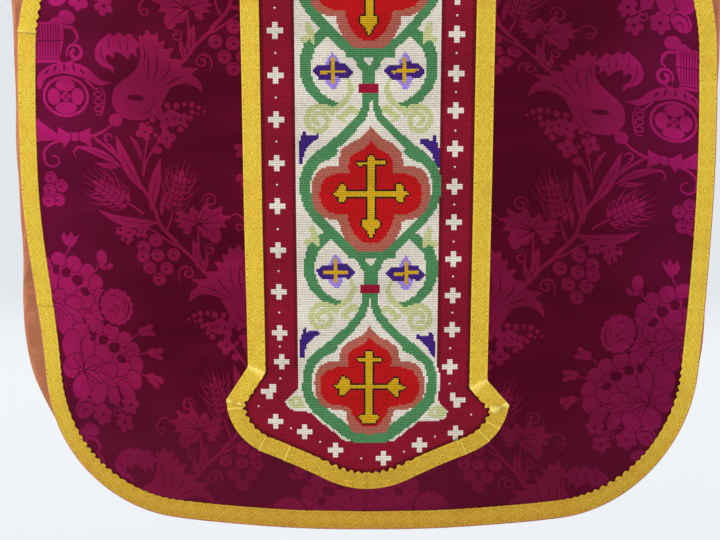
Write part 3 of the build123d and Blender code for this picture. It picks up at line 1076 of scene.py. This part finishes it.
def ringed_flower(art):
    """Round flower in a hoop under an acanthus arch."""
    art.move(-273, 402)
    art.soft(ARCH)
    for x, y, tilt in ((-17, 22, 40), (-9, 25, 62), (0, 26, 88), (9, 25.5, 110), (17, 22, 130)):
        art.disc(x, y, 3.2, 1.0, 0, tilt)
    art.hoop(0, 0, 22.5, 18.5, 2.6)
    for x, y, rx, ry in ((0, 10.2, 9.5, 5.6), (0, -10, 10.5, 5.4), (-11.3, 0, 6.2, 7.6),
                         (11.3, 0, 6.2, 7.6)):
        art.disc(x, y, rx, ry)
    art.disc(0, 0, 4.6, 4.2)
    for a in range(45, 360, 90):
        art.line([(0, 0), (5.5 * math.cos(math.radians(a)), 5 * math.sin(math.radians(a)))], [0.6, 1.4], 0)
    art.line([(20, 15), (25, 10), (29, 6.5), (33, 8)], [2.4, 1.6, 1.0])
    for y in (2, -4.5, -11):
        art.hoop(31, y, 4.2, 3.0, 1.2)
    art.line([(34, 8), (37, 2), (36, -8), (33, -16), (28, -16)], [1.0, 1.6, 1.0])


def ribbed_basket(art):
    art.move(-287, 442)
    art.shape([(-24, 26), (15, 26), (15, 10), (10, -6), (12, -10), (-24, -10)])
    for x in np.arange(-23, 13, 2.6):
        art.line([(x, 24), (x - 0.6, 8), (x - 1.4, -5)], [0.9, 0.9], 0)
    art.line([(-24, 9.4), (14.6, 9.4)], [1.0, 1.0], 0)
    art.line([(-24, -6.6), (10.4, -6.6)], [0.8, 0.8], 0)
    art.curl(25, -1.5, 8.5, 1.3, 200, 3.4, -1)
    art.line([(9, -10), (17, -10.5), (26, -7)], [1.0, 2.2, 1.6])
    art.line([(14, 22), (24, 20), (28, 12), (24, 7)], [3, 3, 1.2])


def bow_and_ribbons(art):
    art.move(-266, 366)
    art.shape(BOW)
    art.disc(0, 0, 3.4, 4.2)
    art.marks([0.8, 0.8], [(-3.6, 4), (-3.9, -4)], [(3.6, 4), (3.9, -4)])
    art.shape([(-45, 24), (-30, 11.5), (-16, 2), (-17, -3.5), (-29, -4), (-45, -6)])
    art.disc(39.5, 15.2, 6.4, 6.0)
    art.line([(15, 0), (27, 5), (36, 11)], [3.4, 2.6, 1.6])
    art.line([(-13, -3.5), (-24, -7), (-31, -14), (-30, -24), (-23, -27.5), (-17, -24), (-18, -19),
              (-23, -17)], [2.4, 2.2, 1.4])


def sprays(art):
    """Arching stems with long leaves, berries and small flowers."""
    art.move(-203, 319)
    art.line([(-44, 46), (-24, 30), (-6, 8), (8, -14), (14, -32), (29, -48)], [2.4, 3.2, 3.2, 3.6])
    art.leaf((-2, 0), (-24, 49), 10.5, 0.05)
    art.leaf((6, -19), (17, 29), 10.5, 0.02)
    art.leaf((-22, 22), (-64, 38), 7, -0.08)
    art.line([(-60, 38.5), (-65, 33), (-62, 27)], [2.6, 0.6])
    art.leaf((-20, 21), (-46, 24), 5, 0.06)
    art.line([(-35, 44), (-27, 36), (-24, 29)], [0.8, 2.4, 1.2])
    art.curl(-32, 46, 4.6, 0.8, 0, 2.0, 1)
    art.line([(0, 12), (2, 30), (6, 46)], [2.2, 1.4])
    art.line([(0, 14), (5, 28), (13, 40), (20, 47)], [2.0, 1.2])
    art.line([(1, 22), (8, 32), (14, 36)], [1.8, 1.2])
    art.disc(14.5, 35.5, 4.0, 3.4)
    art.leaf((-1, 26), (-12, 49), 4.0, -0.1)
    art.leaf((12, -30), (-44, -20), 9.5, 0.10)
    art.leaf((16, -24), (22, -2), 4.5, 0.1, False)
    art.move(-179, 379)
    for x, y, turn, size in ((-21, -8, 20, 1.0), (0, 3, 60, 1.15), (-1, -14, 10, 1.05),
                             (12.5, 3, 40, 0.85)):
        art.petals(x, y, 4, 4.6 * size, 4.1 * size, turn, 1.3)
    for x, y, r in ((1, 15, 3.0), (9, 15, 3.2), (16, 16.5, 2.4), (23, 16, 2.8), (29, 13.5, 2.2),
                    (34, 10, 1.5), (23, 9.5, 2.4), (21, 4, 2.8), (17, -2.5, 2.2), (12, -6, 3.0),
                    (-6, 11, 2.4), (-13, 3, 3.0), (-18, -0.5, 1.6), (-11, -11, 2.0), (-9, 6, 1.8),
                    (6.5, 9.5, 2.0), (28, 8, 1.4)):
        art.disc(x, y, r, sides=9)


def wheat_ear(art, x, h, turn):
    """Ear of wheat that points up before it is turned, with its beard."""
    art.move(x, h, turn)
    for k, spread in enumerate(np.linspace(-30, 30, 9)):
        a = math.radians(90 - spread)
        foot = np.array([spread * 0.28, 12 + 3.2 * (4 - abs(k - 4))])
        reach = 26 - abs(spread) * 0.12
        tip = foot + reach * np.array([math.cos(a), math.sin(a)])
        art.line([foot, (foot + tip) / 2 + (spread * 0.05, 0), tip], [1.2, 0.9, 0.3])
    for k in range(6):
        for hand in (-1, 1):
            x, y, lean = hand * (4.8 - 0.25 * k), 5.2 * k, 90 - hand * 32
            art.disc(x, 3 + y, 5.2, 3.1, 0, lean, 10)
            art.disc(x, 3 + y, 4.4, 2.3, turn=lean, sides=10)
            art.line([(hand * 7.6, 2 + y), (hand * 12, 7 + y), (hand * 13.5, 14 + y)], [1.1, 0.7, 0.2])
    for k in range(5):
        art.disc(0, 7 + 5.4 * k, 2.8, 3.9, 0, sides=9)
        art.disc(0, 7 + 5.4 * k, 2.1, 3.1, sides=9)
    art.disc(0, 34, 2.2, 4.4, sides=8)
    art.line([(0, 2), (0.6, -8), (-0.5, -18)], [1.6, 2.0, 2.2])


def grapes(art, x, h, berries):
    art.move(x, h)
    for px, py in berries:
        art.disc(px, py, 7.2, 6.9, 0, sides=14)
        art.disc(px, py, 6.4, 6.1, sides=14)
        art.line([(px - 3.8, py + 2.2), (px - 1, py + 4), (px + 2.6, py + 3)], [0.3, 0.8, 0.3], 0)
        art.disc(px - 0.6, py - 0.6, 1.5, 1.1, 0, sides=6)


def vine(art):
    """Vine leaf, grapes, tendrils and small berries."""
    art.move(-150, 287, size=1.08)
    art.soft(VINE_LEAF, 0)
    art.move(-150, 287)
    art.soft(VINE_LEAF)
    for tip in ((-19, 7), (-8, 12), (3, 15), (16, 12), (18, 3), (13, -11), (-16, -4)):
        art.line([(-3, 1), (tip[0] * 0.5 - 1, tip[1] * 0.5 + 1), tip], [1.3, 0.9, 0.2], 0)
    art.line([(-3, -1), (-4, -14), (-3, -28), (2, -42)], [1.6, 2.4, 2.0])
    art.curl(8, 23, 7, 1.3, 190, 1.8, -1)
    art.line([(24, 5), (30, 11), (37, 8), (40, 1), (35, -2)], [0.8, 1.8, 1.0])
    art.hoop(35, -1, 4, 3.4, 1.3)
    art.curl(7, -22, 5.4, 1.2, 60, 1.6)
    art.leaf((-6, -38), (-9, -12), 7.5, -0.05)
    art.leaf((-2, -44), (3, -24), 5, -0.1)
    art.line([(-26, -16), (-12, -28), (0, -42), (8, -50)], [3.4, 3.0, 2.4])
    grapes(art, -193, 255, [(-1, 17.5), (-13, 11), (0, 3.5), (15.5, 5), (-14, 2.5), (-8.5, -8), (8, -8),
                            (0, -18.5)])
    art.move(-167, 243)
    art.curl(2, 0, 6.2, 1.25, 150, 1.7, -1)
    art.line([(-5, -9), (-7, -2), (-4, 5), (2, 7)], [0.6, 1.5, 1.0])
    art.move(-221, 281)
    art.petals(1, -2, 4, 4.2, 3.7, 10, 1.2)
    art.petals(14, -1, 4, 3.6, 3.1, 40, 1.0)
    for x, y, r in ((-9, -2, 2.6), (-4, 2.5, 2.0), (-1, 6.5, 1.8), (4.5, 6.5, 1.6), (8.5, 5.5, 2.2),
                    (-5, -8, 2.2), (0, -11, 2.2), (4, -8.5, 1.6), (20, 3, 2.0), (-9, 2, 1.4)):
        art.disc(x, y, r, sides=9)
    art.line([(14, 2), (24, 1), (36, -7), (46, -13)], [1.0, 1.6, 2.2])


PEONY_PETALS = [(-3, 33, 8, 7, 0), (12, 29, 8, 8, 0), (25, 22, 8, 7, 60), (33, 12, 8, 7, 80),
                (36, -2, 9, 7, 90), (33, -16, 9, 8, -60), (26, -26, 11, 6, -50), (11, -28, 12, 6, -65),
                (-4, -27, 13, 9, 85), (-21, -25, 12, 10, 55), (-33, -9, 9, 9, 0), (-20, 28, 9, 8, 0),
                (-31, 14, 15, 10, 75), (-28, -2, 11, 7, 20), (-14, 11, 15, 7, 72), (3, 8, 10, 9, 0),
                (22, -6, 9, 6, 38), (8, -9, 9, 7, 20), (-9, -3, 10, 6, 32), (-8, -15, 10, 4, -25),
                (6, -17, 11, 3, -30)]


def peonies(art):
    """Two full peonies, one above the other, with petals round a heart and four gaps."""
    for x, h in ((-289, 219), (-256, 156)):
        art.move(x, h)
        art.disc(1, 1, 31, 27, sides=24)
        for k, (px, py, long, wide, lean) in enumerate(PEONY_PETALS):
            art.disc(px, py, long + 0.8, wide + 0.8, 0, lean, 14)
            art.disc(px, py, long, wide, 1, lean, 16)
            if k < 10:
                vein = [(px * 0.55 - 8, py * 0.55 - 5), (px * 0.8 - 3, py * 0.8 - 2), (px, py)]
                art.line(vein, [0.2, 0.8, 0.2], 0)
        for px, py, long, wide, lean in ((-7, 23, 5.0, 3.2, 65), (3, 20.5, 5.2, 4.6, 30),
                                         (14, 13.5, 5.8, 5.2, 0), (21, 3, 5.2, 3.8, -35)):
            art.disc(px, py, long, wide, 0, lean)
        for tip in ((-34, 2), (-22, 20), (-30, -16), (-12, -30), (2, -24), (-4, -4)):
            art.line([(-19, -11), (tip[0] * 0.6 - 7, tip[1] * 0.6 - 3), tip], [1.0, 1.0, 0.2], 0)


def rose_and_buds(art):
    art.move(-237, 209)
    art.disc(0, 0, 18.6, 19.4, 0, sides=24)
    art.line([(-34, -20), (-22, -10), (-14, -4)], [2.4, 2.0])
    for k in range(15):
        a = math.radians(24 * k + 8)
        art.disc(13.4 * math.cos(a), 14.4 * math.sin(a), 3.6, 3.4, sides=9)
    art.disc(0, 0, 13.6, 14.2, sides=18)
    art.line([(10, 9), (12.5, 1), (10, -8), (4, -13)], [0.4, 1.4, 1.4, 0.4], 0)
    art.marks([0.3, 1.1, 0.3], [(6, 10), (8.5, 2), (6, -6)], [(-9, 9), (-2, 11), (4, 8)])
    art.marks([0.3, 1.2, 0.3], [(-11, -6), (-4, -4), (0, -10)])
    art.marks([0.3, 1.1, 0.3], [(-5, 3), (0, 0), (2, -7)])
    art.move(-248, 255)
    art.disc(0, 0, 5.4, 7.2)
    art.line([(-4, -6), (-7, -12), (-14, -16)], [1.2, 1.8, 1.2])
    art.disc(7, -8, 4.2, 2.6, turn=35)
    art.disc(0, -9, 3.6, 2.4, turn=-30)
    art.move(-279, 269)
    art.shape(TULIP)
    art.line([(0, -4), (-3, -10), (-10, -16)], [1.6, 1.2])
    for x, h, turn in ((-208, 187, 12), (-200, 166, -8), (-202, 141, -30)):
        art.move(x, h, turn)
        art.disc(-3, 0, 5.4, 4.6)
        art.disc(3, 2.6, 4.6, 3.0, turn=25)
        art.disc(3, -3, 4.6, 2.8, turn=-25)
        art.line([(-1, 0), (4, 0)], [0.4, 0.9], 0)
        art.line([(-8, -1), (-14, -3), (-20, -7)], [1.4, 1.2, 1.0])
    art.disc(7, 2, 1.8)
    for x, h, turn in ((-227, 118, 10), (-233, 102, 40)):
        art.move(x, h)
        art.petals(0, 0, 5, 5.2, 3.9, turn, 1.7)
    art.move(-256, 108)
    art.petals(0, 0, 6, 5.8, 4.4, 20, 1.4)
    art.move(-275, 112)
    art.disc(0, 0, 11, 8.5, turn=40)
    art.line([(-8, -5), (-4, 4), (5, 6), (8, 1)], [0.4, 1.6, 1.4, 0.3], 0)
    art.line([(-3, -6), (1, 0), (5, -4)], [0.4, 1.4, 0.3], 0)
    art.disc(7, -19, 8, 6, turn=-20)
    art.disc(-4, -25, 8, 6, turn=30)
    art.move(-238, 108)
    art.line([(9, 2), (2, 6), (-4, 10), (-12, 12)], [1.6, 1.6, 1.2])
    art.curl(-2, 3, 5, 1.1, 120, 1.8)


def damask_repeat():
    """All figures of one repeat; later ones are woven over earlier ones."""
    art = Design()
    peonies(art)
    rose_and_buds(art)
    sprays(art)
    bow_and_ribbons(art)
    ribbed_basket(art)
    ringed_flower(art)
    curled_leaf(art)
    horn_of_plenty(art)
    wheat_ear(art, -219, 306, 58)
    wheat_ear(art, -177, 300, -16)
    grapes(art, -290, 319, [(-2, 9), (8, 2), (-4, -2), (4, -11), (-6, -12)])
    vine(art)
    return art.polygons


def cut_on_the_cross(half, side, x, h):
    """How the design leans where the front's halves were not cut straight along the weave."""
    if half is back:
        return x, h
    if side < 0:
        return x, h - 7 * np.clip((150 - h) / 60, 0, 1)
    low = np.clip((280 - h) / 80, 0, 1)
    inward = 13 * np.clip((230 - h) / 80, 0, 1) * np.clip((x + 330) / 120, 0, 1)
    outward = 0.075 * (-200 - x) * np.clip((h - 200) / 60, 0, 1)
    lean = 0.155 * (x + 105 + 20 * np.clip((h - 260) / 60, 0, 1)) - 6 * low
    drop = 20 * np.clip((h - 422) / 72, 0, 1) * np.clip((x + 230) / 50, 0, 1)
    return x + inward - outward, h + lean - drop


def damask_figures(half, side):
    """The design over one half of a panel, by repeating the glide up and down it.

    Figures off the panel and under the needlework are left out."""
    repeat = damask_repeat()
    found = []
    for step in range(-6, 4):
        for points, kind in repeat:
            inner = points[:, 0] if step % 2 == 0 else 2 * GLIDE_AXIS - points[:, 0]
            height = points[:, 1] - GLIDE_DROP * step
            for x in (inner, 2 * MIRROR_AXIS - inner):
                x, h = cut_on_the_cross(half, side, x, height)
                under_column = (abs(x) < COLUMN_HALF - 12) & (h > 75)
                on_panel = (x > -PANEL_REACH) & (x < 4) & (h > 0) & (h < half.length)
                if (on_panel & ~under_column).any():
                    found.append((np.stack([-side * x, half.length - h], -1), kind))
    return found


# ---- finishes ----

def damask_shader(name, ground, shine, roughness, shade):
    """Silk: fine ribs, faint bars across the weft, and a painted sheen that brightens the colour towards
    the sides.
    """
    shader = Shader(name, roughness, Metallic=0.25, Anisotropic=0.5, Specular_IOR_Level=0.05,
                    Specular_Tint=(0.8, 0.2, 0.5, 1))
    vector, x, s = shader.uv()
    slub = shader.streaks(vector, 0.05, 1.1, detail=3.0)
    bar = shader.streaks(vector, 0.004, 0.05)
    cloud = shader.streaks(vector, 0.7, 1.5, 0.012)
    low, high = toned(ground, 0.84), toned(ground, 1.12, 2)
    out = shader.math("ABSOLUTE", x)
    tone = shader.mix(shader.ramp(slub, 0.3, 0.7, 0.35, 0.75), low, high)
    tone = shader.mix(shader.ramp(bar, 0.42, 0.66, 0.0, 0.6), tone, high)
    tone = shader.mix(shader.ramp(cloud, 0.38, 0.62, 0.0, 0.7), tone, low)
    # painted sheen: towards both sides the colour turns to the shine colour, less so lower down
    painted_sheen = shader.times(shader.ramp(out, 175, 320), shader.ramp(cloud, 0.3, 0.7, 0.9, 0.35))
    painted_sheen = shader.times(painted_sheen, shader.ramp(s, 560, 760, 1.0, 0.4))
    tone = shader.mix(shader.ramp(s, 800, 900, 0.0, 0.5), tone, srgb(92, 20, 44))
    # painted shade: the colour darkens across the right half, by the factor shade
    tone = shader.mix(shader.ramp(x, 40, 160, 0.0, 0.5), tone, toned(ground, shade))
    shader.colour(shader.mix(painted_sheen, tone, srgb(*shine)))
    ribs = shader.plus(shader.wave(s, 0.8), shader.times(shader.wave(x, 0.6), 0.5))
    shader.bump(shader.plus(ribs, shader.times(slub, 0.8)), 0.0001, 0.5)
    shader.rough(shader.ramp(slub, 0.2, 0.8, roughness - 0.04, roughness + 0.04))
    return shader.material


def needlework_shader():
    """Wool on canvas: each stitch is a small cushion, with painted shade in the grooves between its rows
    and columns.
    """
    shader = Shader("wool_needlework", 0.9, Specular_IOR_Level=0.15)
    vector, x, s = shader.uv()
    thread = shader.node("VertexColor", layer_name="thread").outputs[0]
    across = shader.wave(shader.minus(x, STITCH / 4), STITCH)
    along = shader.wave(shader.minus(s, STITCH / 4), STITCH)
    fuzz = shader.noise(vector, 2.2, 3.0)
    # painted shade: the colour darkens in the grooves between rows and between columns of stitches
    row_groove_shade = shader.ramp(along, 0.04, 0.45, 0.42, 1.0)
    column_groove_shade = shader.ramp(across, 0.0, 0.3, 0.72, 1.0)
    shade = shader.times(row_groove_shade, column_groove_shade)
    shade = shader.times(shade, shader.ramp(fuzz, 0.3, 0.7, 0.9, 1.08))
    grey = shader.node("CombineColor", {0: shade, 1: shade, 2: shade}).outputs[0]
    shader.colour(shader.mix(1.0, thread, grey, "MULTIPLY"))
    height = shader.plus(shader.times(across, 0.5), along)
    shader.bump(shader.plus(height, shader.times(fuzz, 0.4)), 0.0006, 0.8)
    return shader.material


def galloon_shader():
    """Gold braid: a lozenge round a ring, between plain selvedges held by stitches that leave small dents
    with painted shade in them.
    """
    shader = Shader("gold_braid", 0.5, Metallic=0.3, Specular_IOR_Level=0.2)
    vector, u, v = shader.uv()
    repeat = 13.0
    part = shader.math("FRACT", shader.math("DIVIDE", u, repeat))
    p = shader.minus(shader.times(part, repeat), repeat / 2)
    q = shader.minus(v, GALLOON / 2)
    size_p, size_q = shader.math("ABSOLUTE", p), shader.math("ABSOLUTE", q)

    def edge(value, centre, half_width):
        gap = shader.math("ABSOLUTE", shader.minus(value, centre))
        return shader.ramp(gap, half_width * 0.6, half_width * 1.3, 1.0, 0.0)

    lozenge = shader.plus(shader.math("DIVIDE", size_p, 6.5), shader.math("DIVIDE", size_q, 5.8))
    radius = shader.math("SQRT", shader.plus(shader.times(p, p), shader.times(q, q)))
    figure = shader.math("MAXIMUM", edge(lozenge, 0.95, 0.13), edge(radius, 2.3, 0.55))
    figure = shader.math("MAXIMUM", figure, edge(radius, 0.0, 0.8))
    selvedge = shader.ramp(size_q, 5.9, 6.3)
    rubbed = shader.noise(vector, 0.16, 3.0)
    figure = shader.times(figure, shader.ramp(rubbed, 0.38, 0.6, 0.55, 1.0))
    figure = shader.times(figure, shader.minus(1.0, selvedge))
    threads = shader.times(shader.wave(u, 0.75), shader.wave(v, 1.1))
    fleck = shader.noise(vector, 1.3, 4.0)
    spark = shader.noise(vector, 0.7, 3.0)
    wear = shader.noise(vector, 0.05, 3.0)
    body = shader.mix(figure, srgb(217, 179, 44), srgb(237, 208, 70))
    body = shader.mix(selvedge, body, srgb(230, 198, 58))
    body = shader.mix(shader.ramp(fleck, 0.32, 0.55), shader.mix(0.45, body, srgb(150, 106, 20)), body)
    body = shader.mix(shader.ramp(spark, 0.5, 0.72, 0.0, 0.6), body, srgb(240, 214, 92))
    body = shader.mix(shader.ramp(wear, 0.45, 0.75, 0.0, 0.4), body, srgb(205, 150, 45))
    # painted shade: the braid turns to a darker gold near the hem and the column's foot
    hem_shade = shader.node("Attribute", attribute_name="low").outputs["Fac"]
    hem_shade_colour = shader.mix(figure, srgb(170, 106, 22), srgb(194, 138, 40))
    hem_shade_colour = shader.mix(shader.ramp(spark, 0.35, 0.6), shader.mix(0.5, hem_shade_colour, srgb(128, 78, 14)), hem_shade_colour)
    body = shader.mix(shader.times(hem_shade, 0.6), body, hem_shade_colour)
    # painted highlight along each fold and mitre, where the braid is also rubbed
    crease = shader.node("Attribute", attribute_name="crease").outputs["Fac"]
    body = shader.mix(shader.times(crease, 0.8), body, srgb(250, 228, 118))
    # painted shade in the small dents where the braid is sewn down
    on_line = edge(size_q, 6.9, 0.5)
    skip = shader.streaks(vector, 1, 0.01, 0.12)
    dash = shader.times(shader.ramp(shader.wave(u, 4.2), 0.75, 0.9), shader.ramp(skip, 0.42, 0.58))
    stitch = shader.times(on_line, dash)
    shader.colour(shader.mix(shader.times(stitch, 0.8), body, srgb(100, 62, 18)))
    height = shader.plus(shader.times(figure, 1.2), shader.times(threads, 0.8))
    shader.bump(shader.minus(height, stitch), 0.0004, 0.8)
    shader.rough(shader.ramp(threads, 0.0, 1.0, 0.42, 0.6))
    return shader.material


def satin_shader(name, colour, roughness, metallic):
    """Plain satin or canvas: crossing threads with soft creases and slight fading."""
    shader = Shader(name, roughness, Metallic=metallic, Specular_IOR_Level=0.2)
    vector, x, s = shader.uv()
    slub = shader.streaks(vector, 0.08, 1.1, detail=3.0)
    cloud = shader.noise(vector, 0.02)
    tone = shader.mix(slub, toned(colour, 0.88), toned(colour, 1.08))
    shader.colour(shader.mix(shader.ramp(cloud, 0.3, 0.8, 0.0, 0.35), tone, toned(colour, 0.78)))
    threads = shader.times(shader.wave(x, 0.7), shader.wave(s, 0.7))
    shader.bump(shader.plus(threads, shader.times(cloud, 12)), 0.0003, 0.4)
    shader.rough(shader.ramp(slub, 0.2, 0.8, roughness - 0.06, roughness + 0.06))
    return shader.material


# ---- assembly ----
LAYERS = {"lining": (-1.9, -2.3), "interlining": (-0.55, -1.85), "damask": (0.0, -0.45)}
TURNED_EDGE = 1.6              # how far the lining's turned edge shows beyond the galloon
CANVAS_INSET = 2.5             # how far the interlining stays inside the damask's edge
EDGE_RISE = 1.6                # how far the lining comes forward there
FRONT_JOINS = (211, 464)       # heights above the hem at which the front's left galloon is pieced
JOIN_LAP = 5                   # how far each piece of galloon laps over the one below it


def finish(obj, slot, materials, *nodes):
    for material in materials:
        obj.data.materials.append(material)
    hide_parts(*nodes)
    return obj


def bend(obj):
    """Bake the object's placement into its mesh."""
    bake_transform(obj)


def build_half(half):
    name = half.name
    half_cut = half_outline(half)
    outline = resample(whole(half_cut), CUT_STEP)
    inner = whole(moved_outline(half, CANVAS_INSET))
    core = resample(inner, CLOTH_STEP)
    canvas = cloth(name + "_interlining_canvas", half, core, *LAYERS["interlining"], spacing=12)
    finish(canvas, "interlining", [linen], name + "_interlining", name + "_yoke_interlining")

    wide = resample(whole(moved_outline(half, -TURNED_EDGE)), CUT_STEP)

    def rolled(depth):
        """An offset that comes forward beyond the damask's edge."""
        return lambda x, s: np.where(inside(outline, x, s) | (s < 2), depth, depth + EDGE_RISE)

    rims = [(outline, 0), (resample(inner, CUT_STEP), 0)]
    lining = cloth(name + "_lining_satin", half, wide, *map(rolled, LAYERS["lining"]), rims, spacing=11)
    finish(lining, "lining", [copper], name + "_lining", name + "_yoke_lining")

    stitched = needlework(half)
    finish(stitched, "needlework", [wool], name + "_needlework", name + "_yoke_needlework")
    made = [canvas, lining, stitched]
    bands = {}
    right = resample(half_cut, CUT_STEP)
    for label, side in SIDES:
        cut = resample(np.vstack([right, right[:1]]), CLOTH_STEP)[:-1] * (side, 1)
        silk = cloth(f"{name}_damask_{label}_silk", half, cut, *LAYERS["damask"],
                     damask_figures(half, side))
        finish(silk, "silk_damask", [silk_ground, silk_figure],
               f"{name}_damask_{label}", f"{name}_yoke_damask_{label}")
        column = column_band(f"{name}_column_galloon_{label}_braid", half, side)
        finish(column, "gold_galloon", [gold],
               f"{name}_column_galloon_{label}", f"{name}_yoke_column_galloon_{label}")
        bands[label] = [column]
        made += [silk, column]
    top = SEAM_HALF
    hem = half.length
    if half is front:
        lower, upper = (hem - height for height in FRONT_JOINS)
        edges = [("hem_and_right", [(-1, hem, lower), (1, hem, top)], "right"),
                 ("middle_left", [(-1, lower + JOIN_LAP, upper)], "left"),
                 ("upper_left", [(-1, upper + JOIN_LAP, top)], "left")]
    else:
        edges = [(label, [(side, hem, top)], label) for label, side in SIDES]
    for part, paths, label in edges:
        node = f"{name}_edge_galloon_{part}"
        edge = edge_band(node + "_braid", half, paths)
        armhole = [f"{name}_yoke_armhole_galloon_{label}"] if paths[-1][2] == top else []
        finish(edge, "gold_galloon", [gold], node, *armhole)
        bands[label].append(edge)
        made.append(edge)
    for obj in made:
        bend(obj)
    side = chain(column_foot(half), [(COLUMN_HALF, float(ring_s(half, COLUMN_HALF)))])
    cover = inset(side, GALLOON - UNDERLAP)


wool = needlework_shader()
gold = galloon_shader()
copper = satin_shader("copper_satin", (202, 128, 90), 0.42, 0.25)
linen = satin_shader("linen_canvas", (205, 194, 168), 0.8, 0.0)
# Each damask gets its base colour, the colour of its painted sheen at the sides, its roughness, and how far
# the painted shade on its right half darkens it.
silk_ground = damask_shader("damask_ground", (76, 7, 27), (98, 12, 54), 0.42, 0.84)
silk_figure = damask_shader("damask_figure", (119, 17, 54), (172, 26, 106), 0.46, 0.66)

build_half(front)
build_half(back)
ring = finish(neck_band(), "gold_galloon", [gold], "neck_galloon")
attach(ring, "shoulders")
for label, side in SIDES:
    seam = seam_band(f"shoulder_seam_galloon_{label}_braid", side)
    finish(seam, "gold_galloon", [gold], f"shoulder_seam_galloon_{label}")
    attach(seam, "shoulders")


# ---- surroundings ----

def studio():
    """A pale round backdrop: a floor that curves up into its walls."""
    floor_z, flat_reach, curve, height = -1.35, 3.5, 1.8, 5.0
    angles = np.linspace(0, math.pi / 2, 14)
    radii = np.r_[0.01, flat_reach, flat_reach + curve * np.sin(angles[1:]), flat_reach + curve]
    heights = np.r_[floor_z, floor_z, floor_z + curve * (1 - np.cos(angles[1:])), floor_z + height]
    turns = np.linspace(0, 2 * math.pi, 65)[:-1]
    points = [(r * math.cos(t), r * math.sin(t), z) for r, z in zip(radii, heights) for t in turns]
    count = len(turns)
    rings = [[i * count + j for j in range(count)] for i in range(len(radii))]
    faces = [(low[j], low[(j + 1) % count], high[(j + 1) % count], high[j])
             for low, high in zip(rings, rings[1:]) for j in range(count)]
    faces.append(tuple(reversed(range(count))))
    mesh = bpy.data.meshes.new("studio_floor")
    mesh.from_pydata(points, [], faces)
    mesh.polygons.foreach_set("use_smooth", [True] * len(faces))
    floor = bpy.data.objects.new("studio_floor", mesh)
    bpy.context.scene.collection.objects.link(floor)
    shader = Shader("studio_paper", 0.95, Emission_Strength=0.74)
    shader.bsdf.inputs["Base Color"].default_value = srgb(128, 130, 132)
    shader.bsdf.inputs["Emission Color"].default_value = srgb(232, 235, 239)
    mesh.materials.append(shader.material)


def area_light(name, location, target, width, height, power):
    data = bpy.data.lights.new(name, "AREA")
    data.shape, data.size, data.size_y = "RECTANGLE", width, height
    data.energy = power
    light = bpy.data.objects.new(name, data)
    light.location = location
    light.rotation_euler = (Vector(target) - Vector(location)).to_track_quat("-Z", "Y").to_euler()
    light.visible_camera = False
    bpy.context.scene.collection.objects.link(light)


studio()
middle = (0, 0, -0.5)
area_light("window_left", (-2.3, -1.7, 0.3), middle, 1.6, 2.2, 44)
area_light("window_right", (2.3, -1.7, 0.2), middle, 1.6, 2.2, 24)
area_light("fill_above", (0, -0.6, 2.6), middle, 3.0, 3.0, 14)
area_light("back_left", (-1.6, 2.3, 0.6), middle, 1.6, 2.0, 26)
area_light("back_right", (1.8, 2.2, 0.4), middle, 1.6, 2.0, 22)
world = bpy.data.worlds.new("soft_sky")
world.use_nodes = True
world.node_tree.nodes["Background"].inputs[0].default_value = srgb(236, 240, 246)
world.node_tree.nodes["Background"].inputs[1].default_value = 0.45
bpy.context.scene.world = world
bpy.context.scene.view_settings.view_transform = "Standard"

camera_data = bpy.data.cameras.new("camera")
camera_data.lens, camera_data.sensor_width = 50, 36
camera = bpy.data.objects.new("camera", camera_data)
camera.location = (-0.0067, -0.984, -0.5006)
camera.rotation_euler = (math.radians(80), 0, 0)
bpy.context.scene.collection.objects.link(camera)
bpy.context.scene.camera = camera
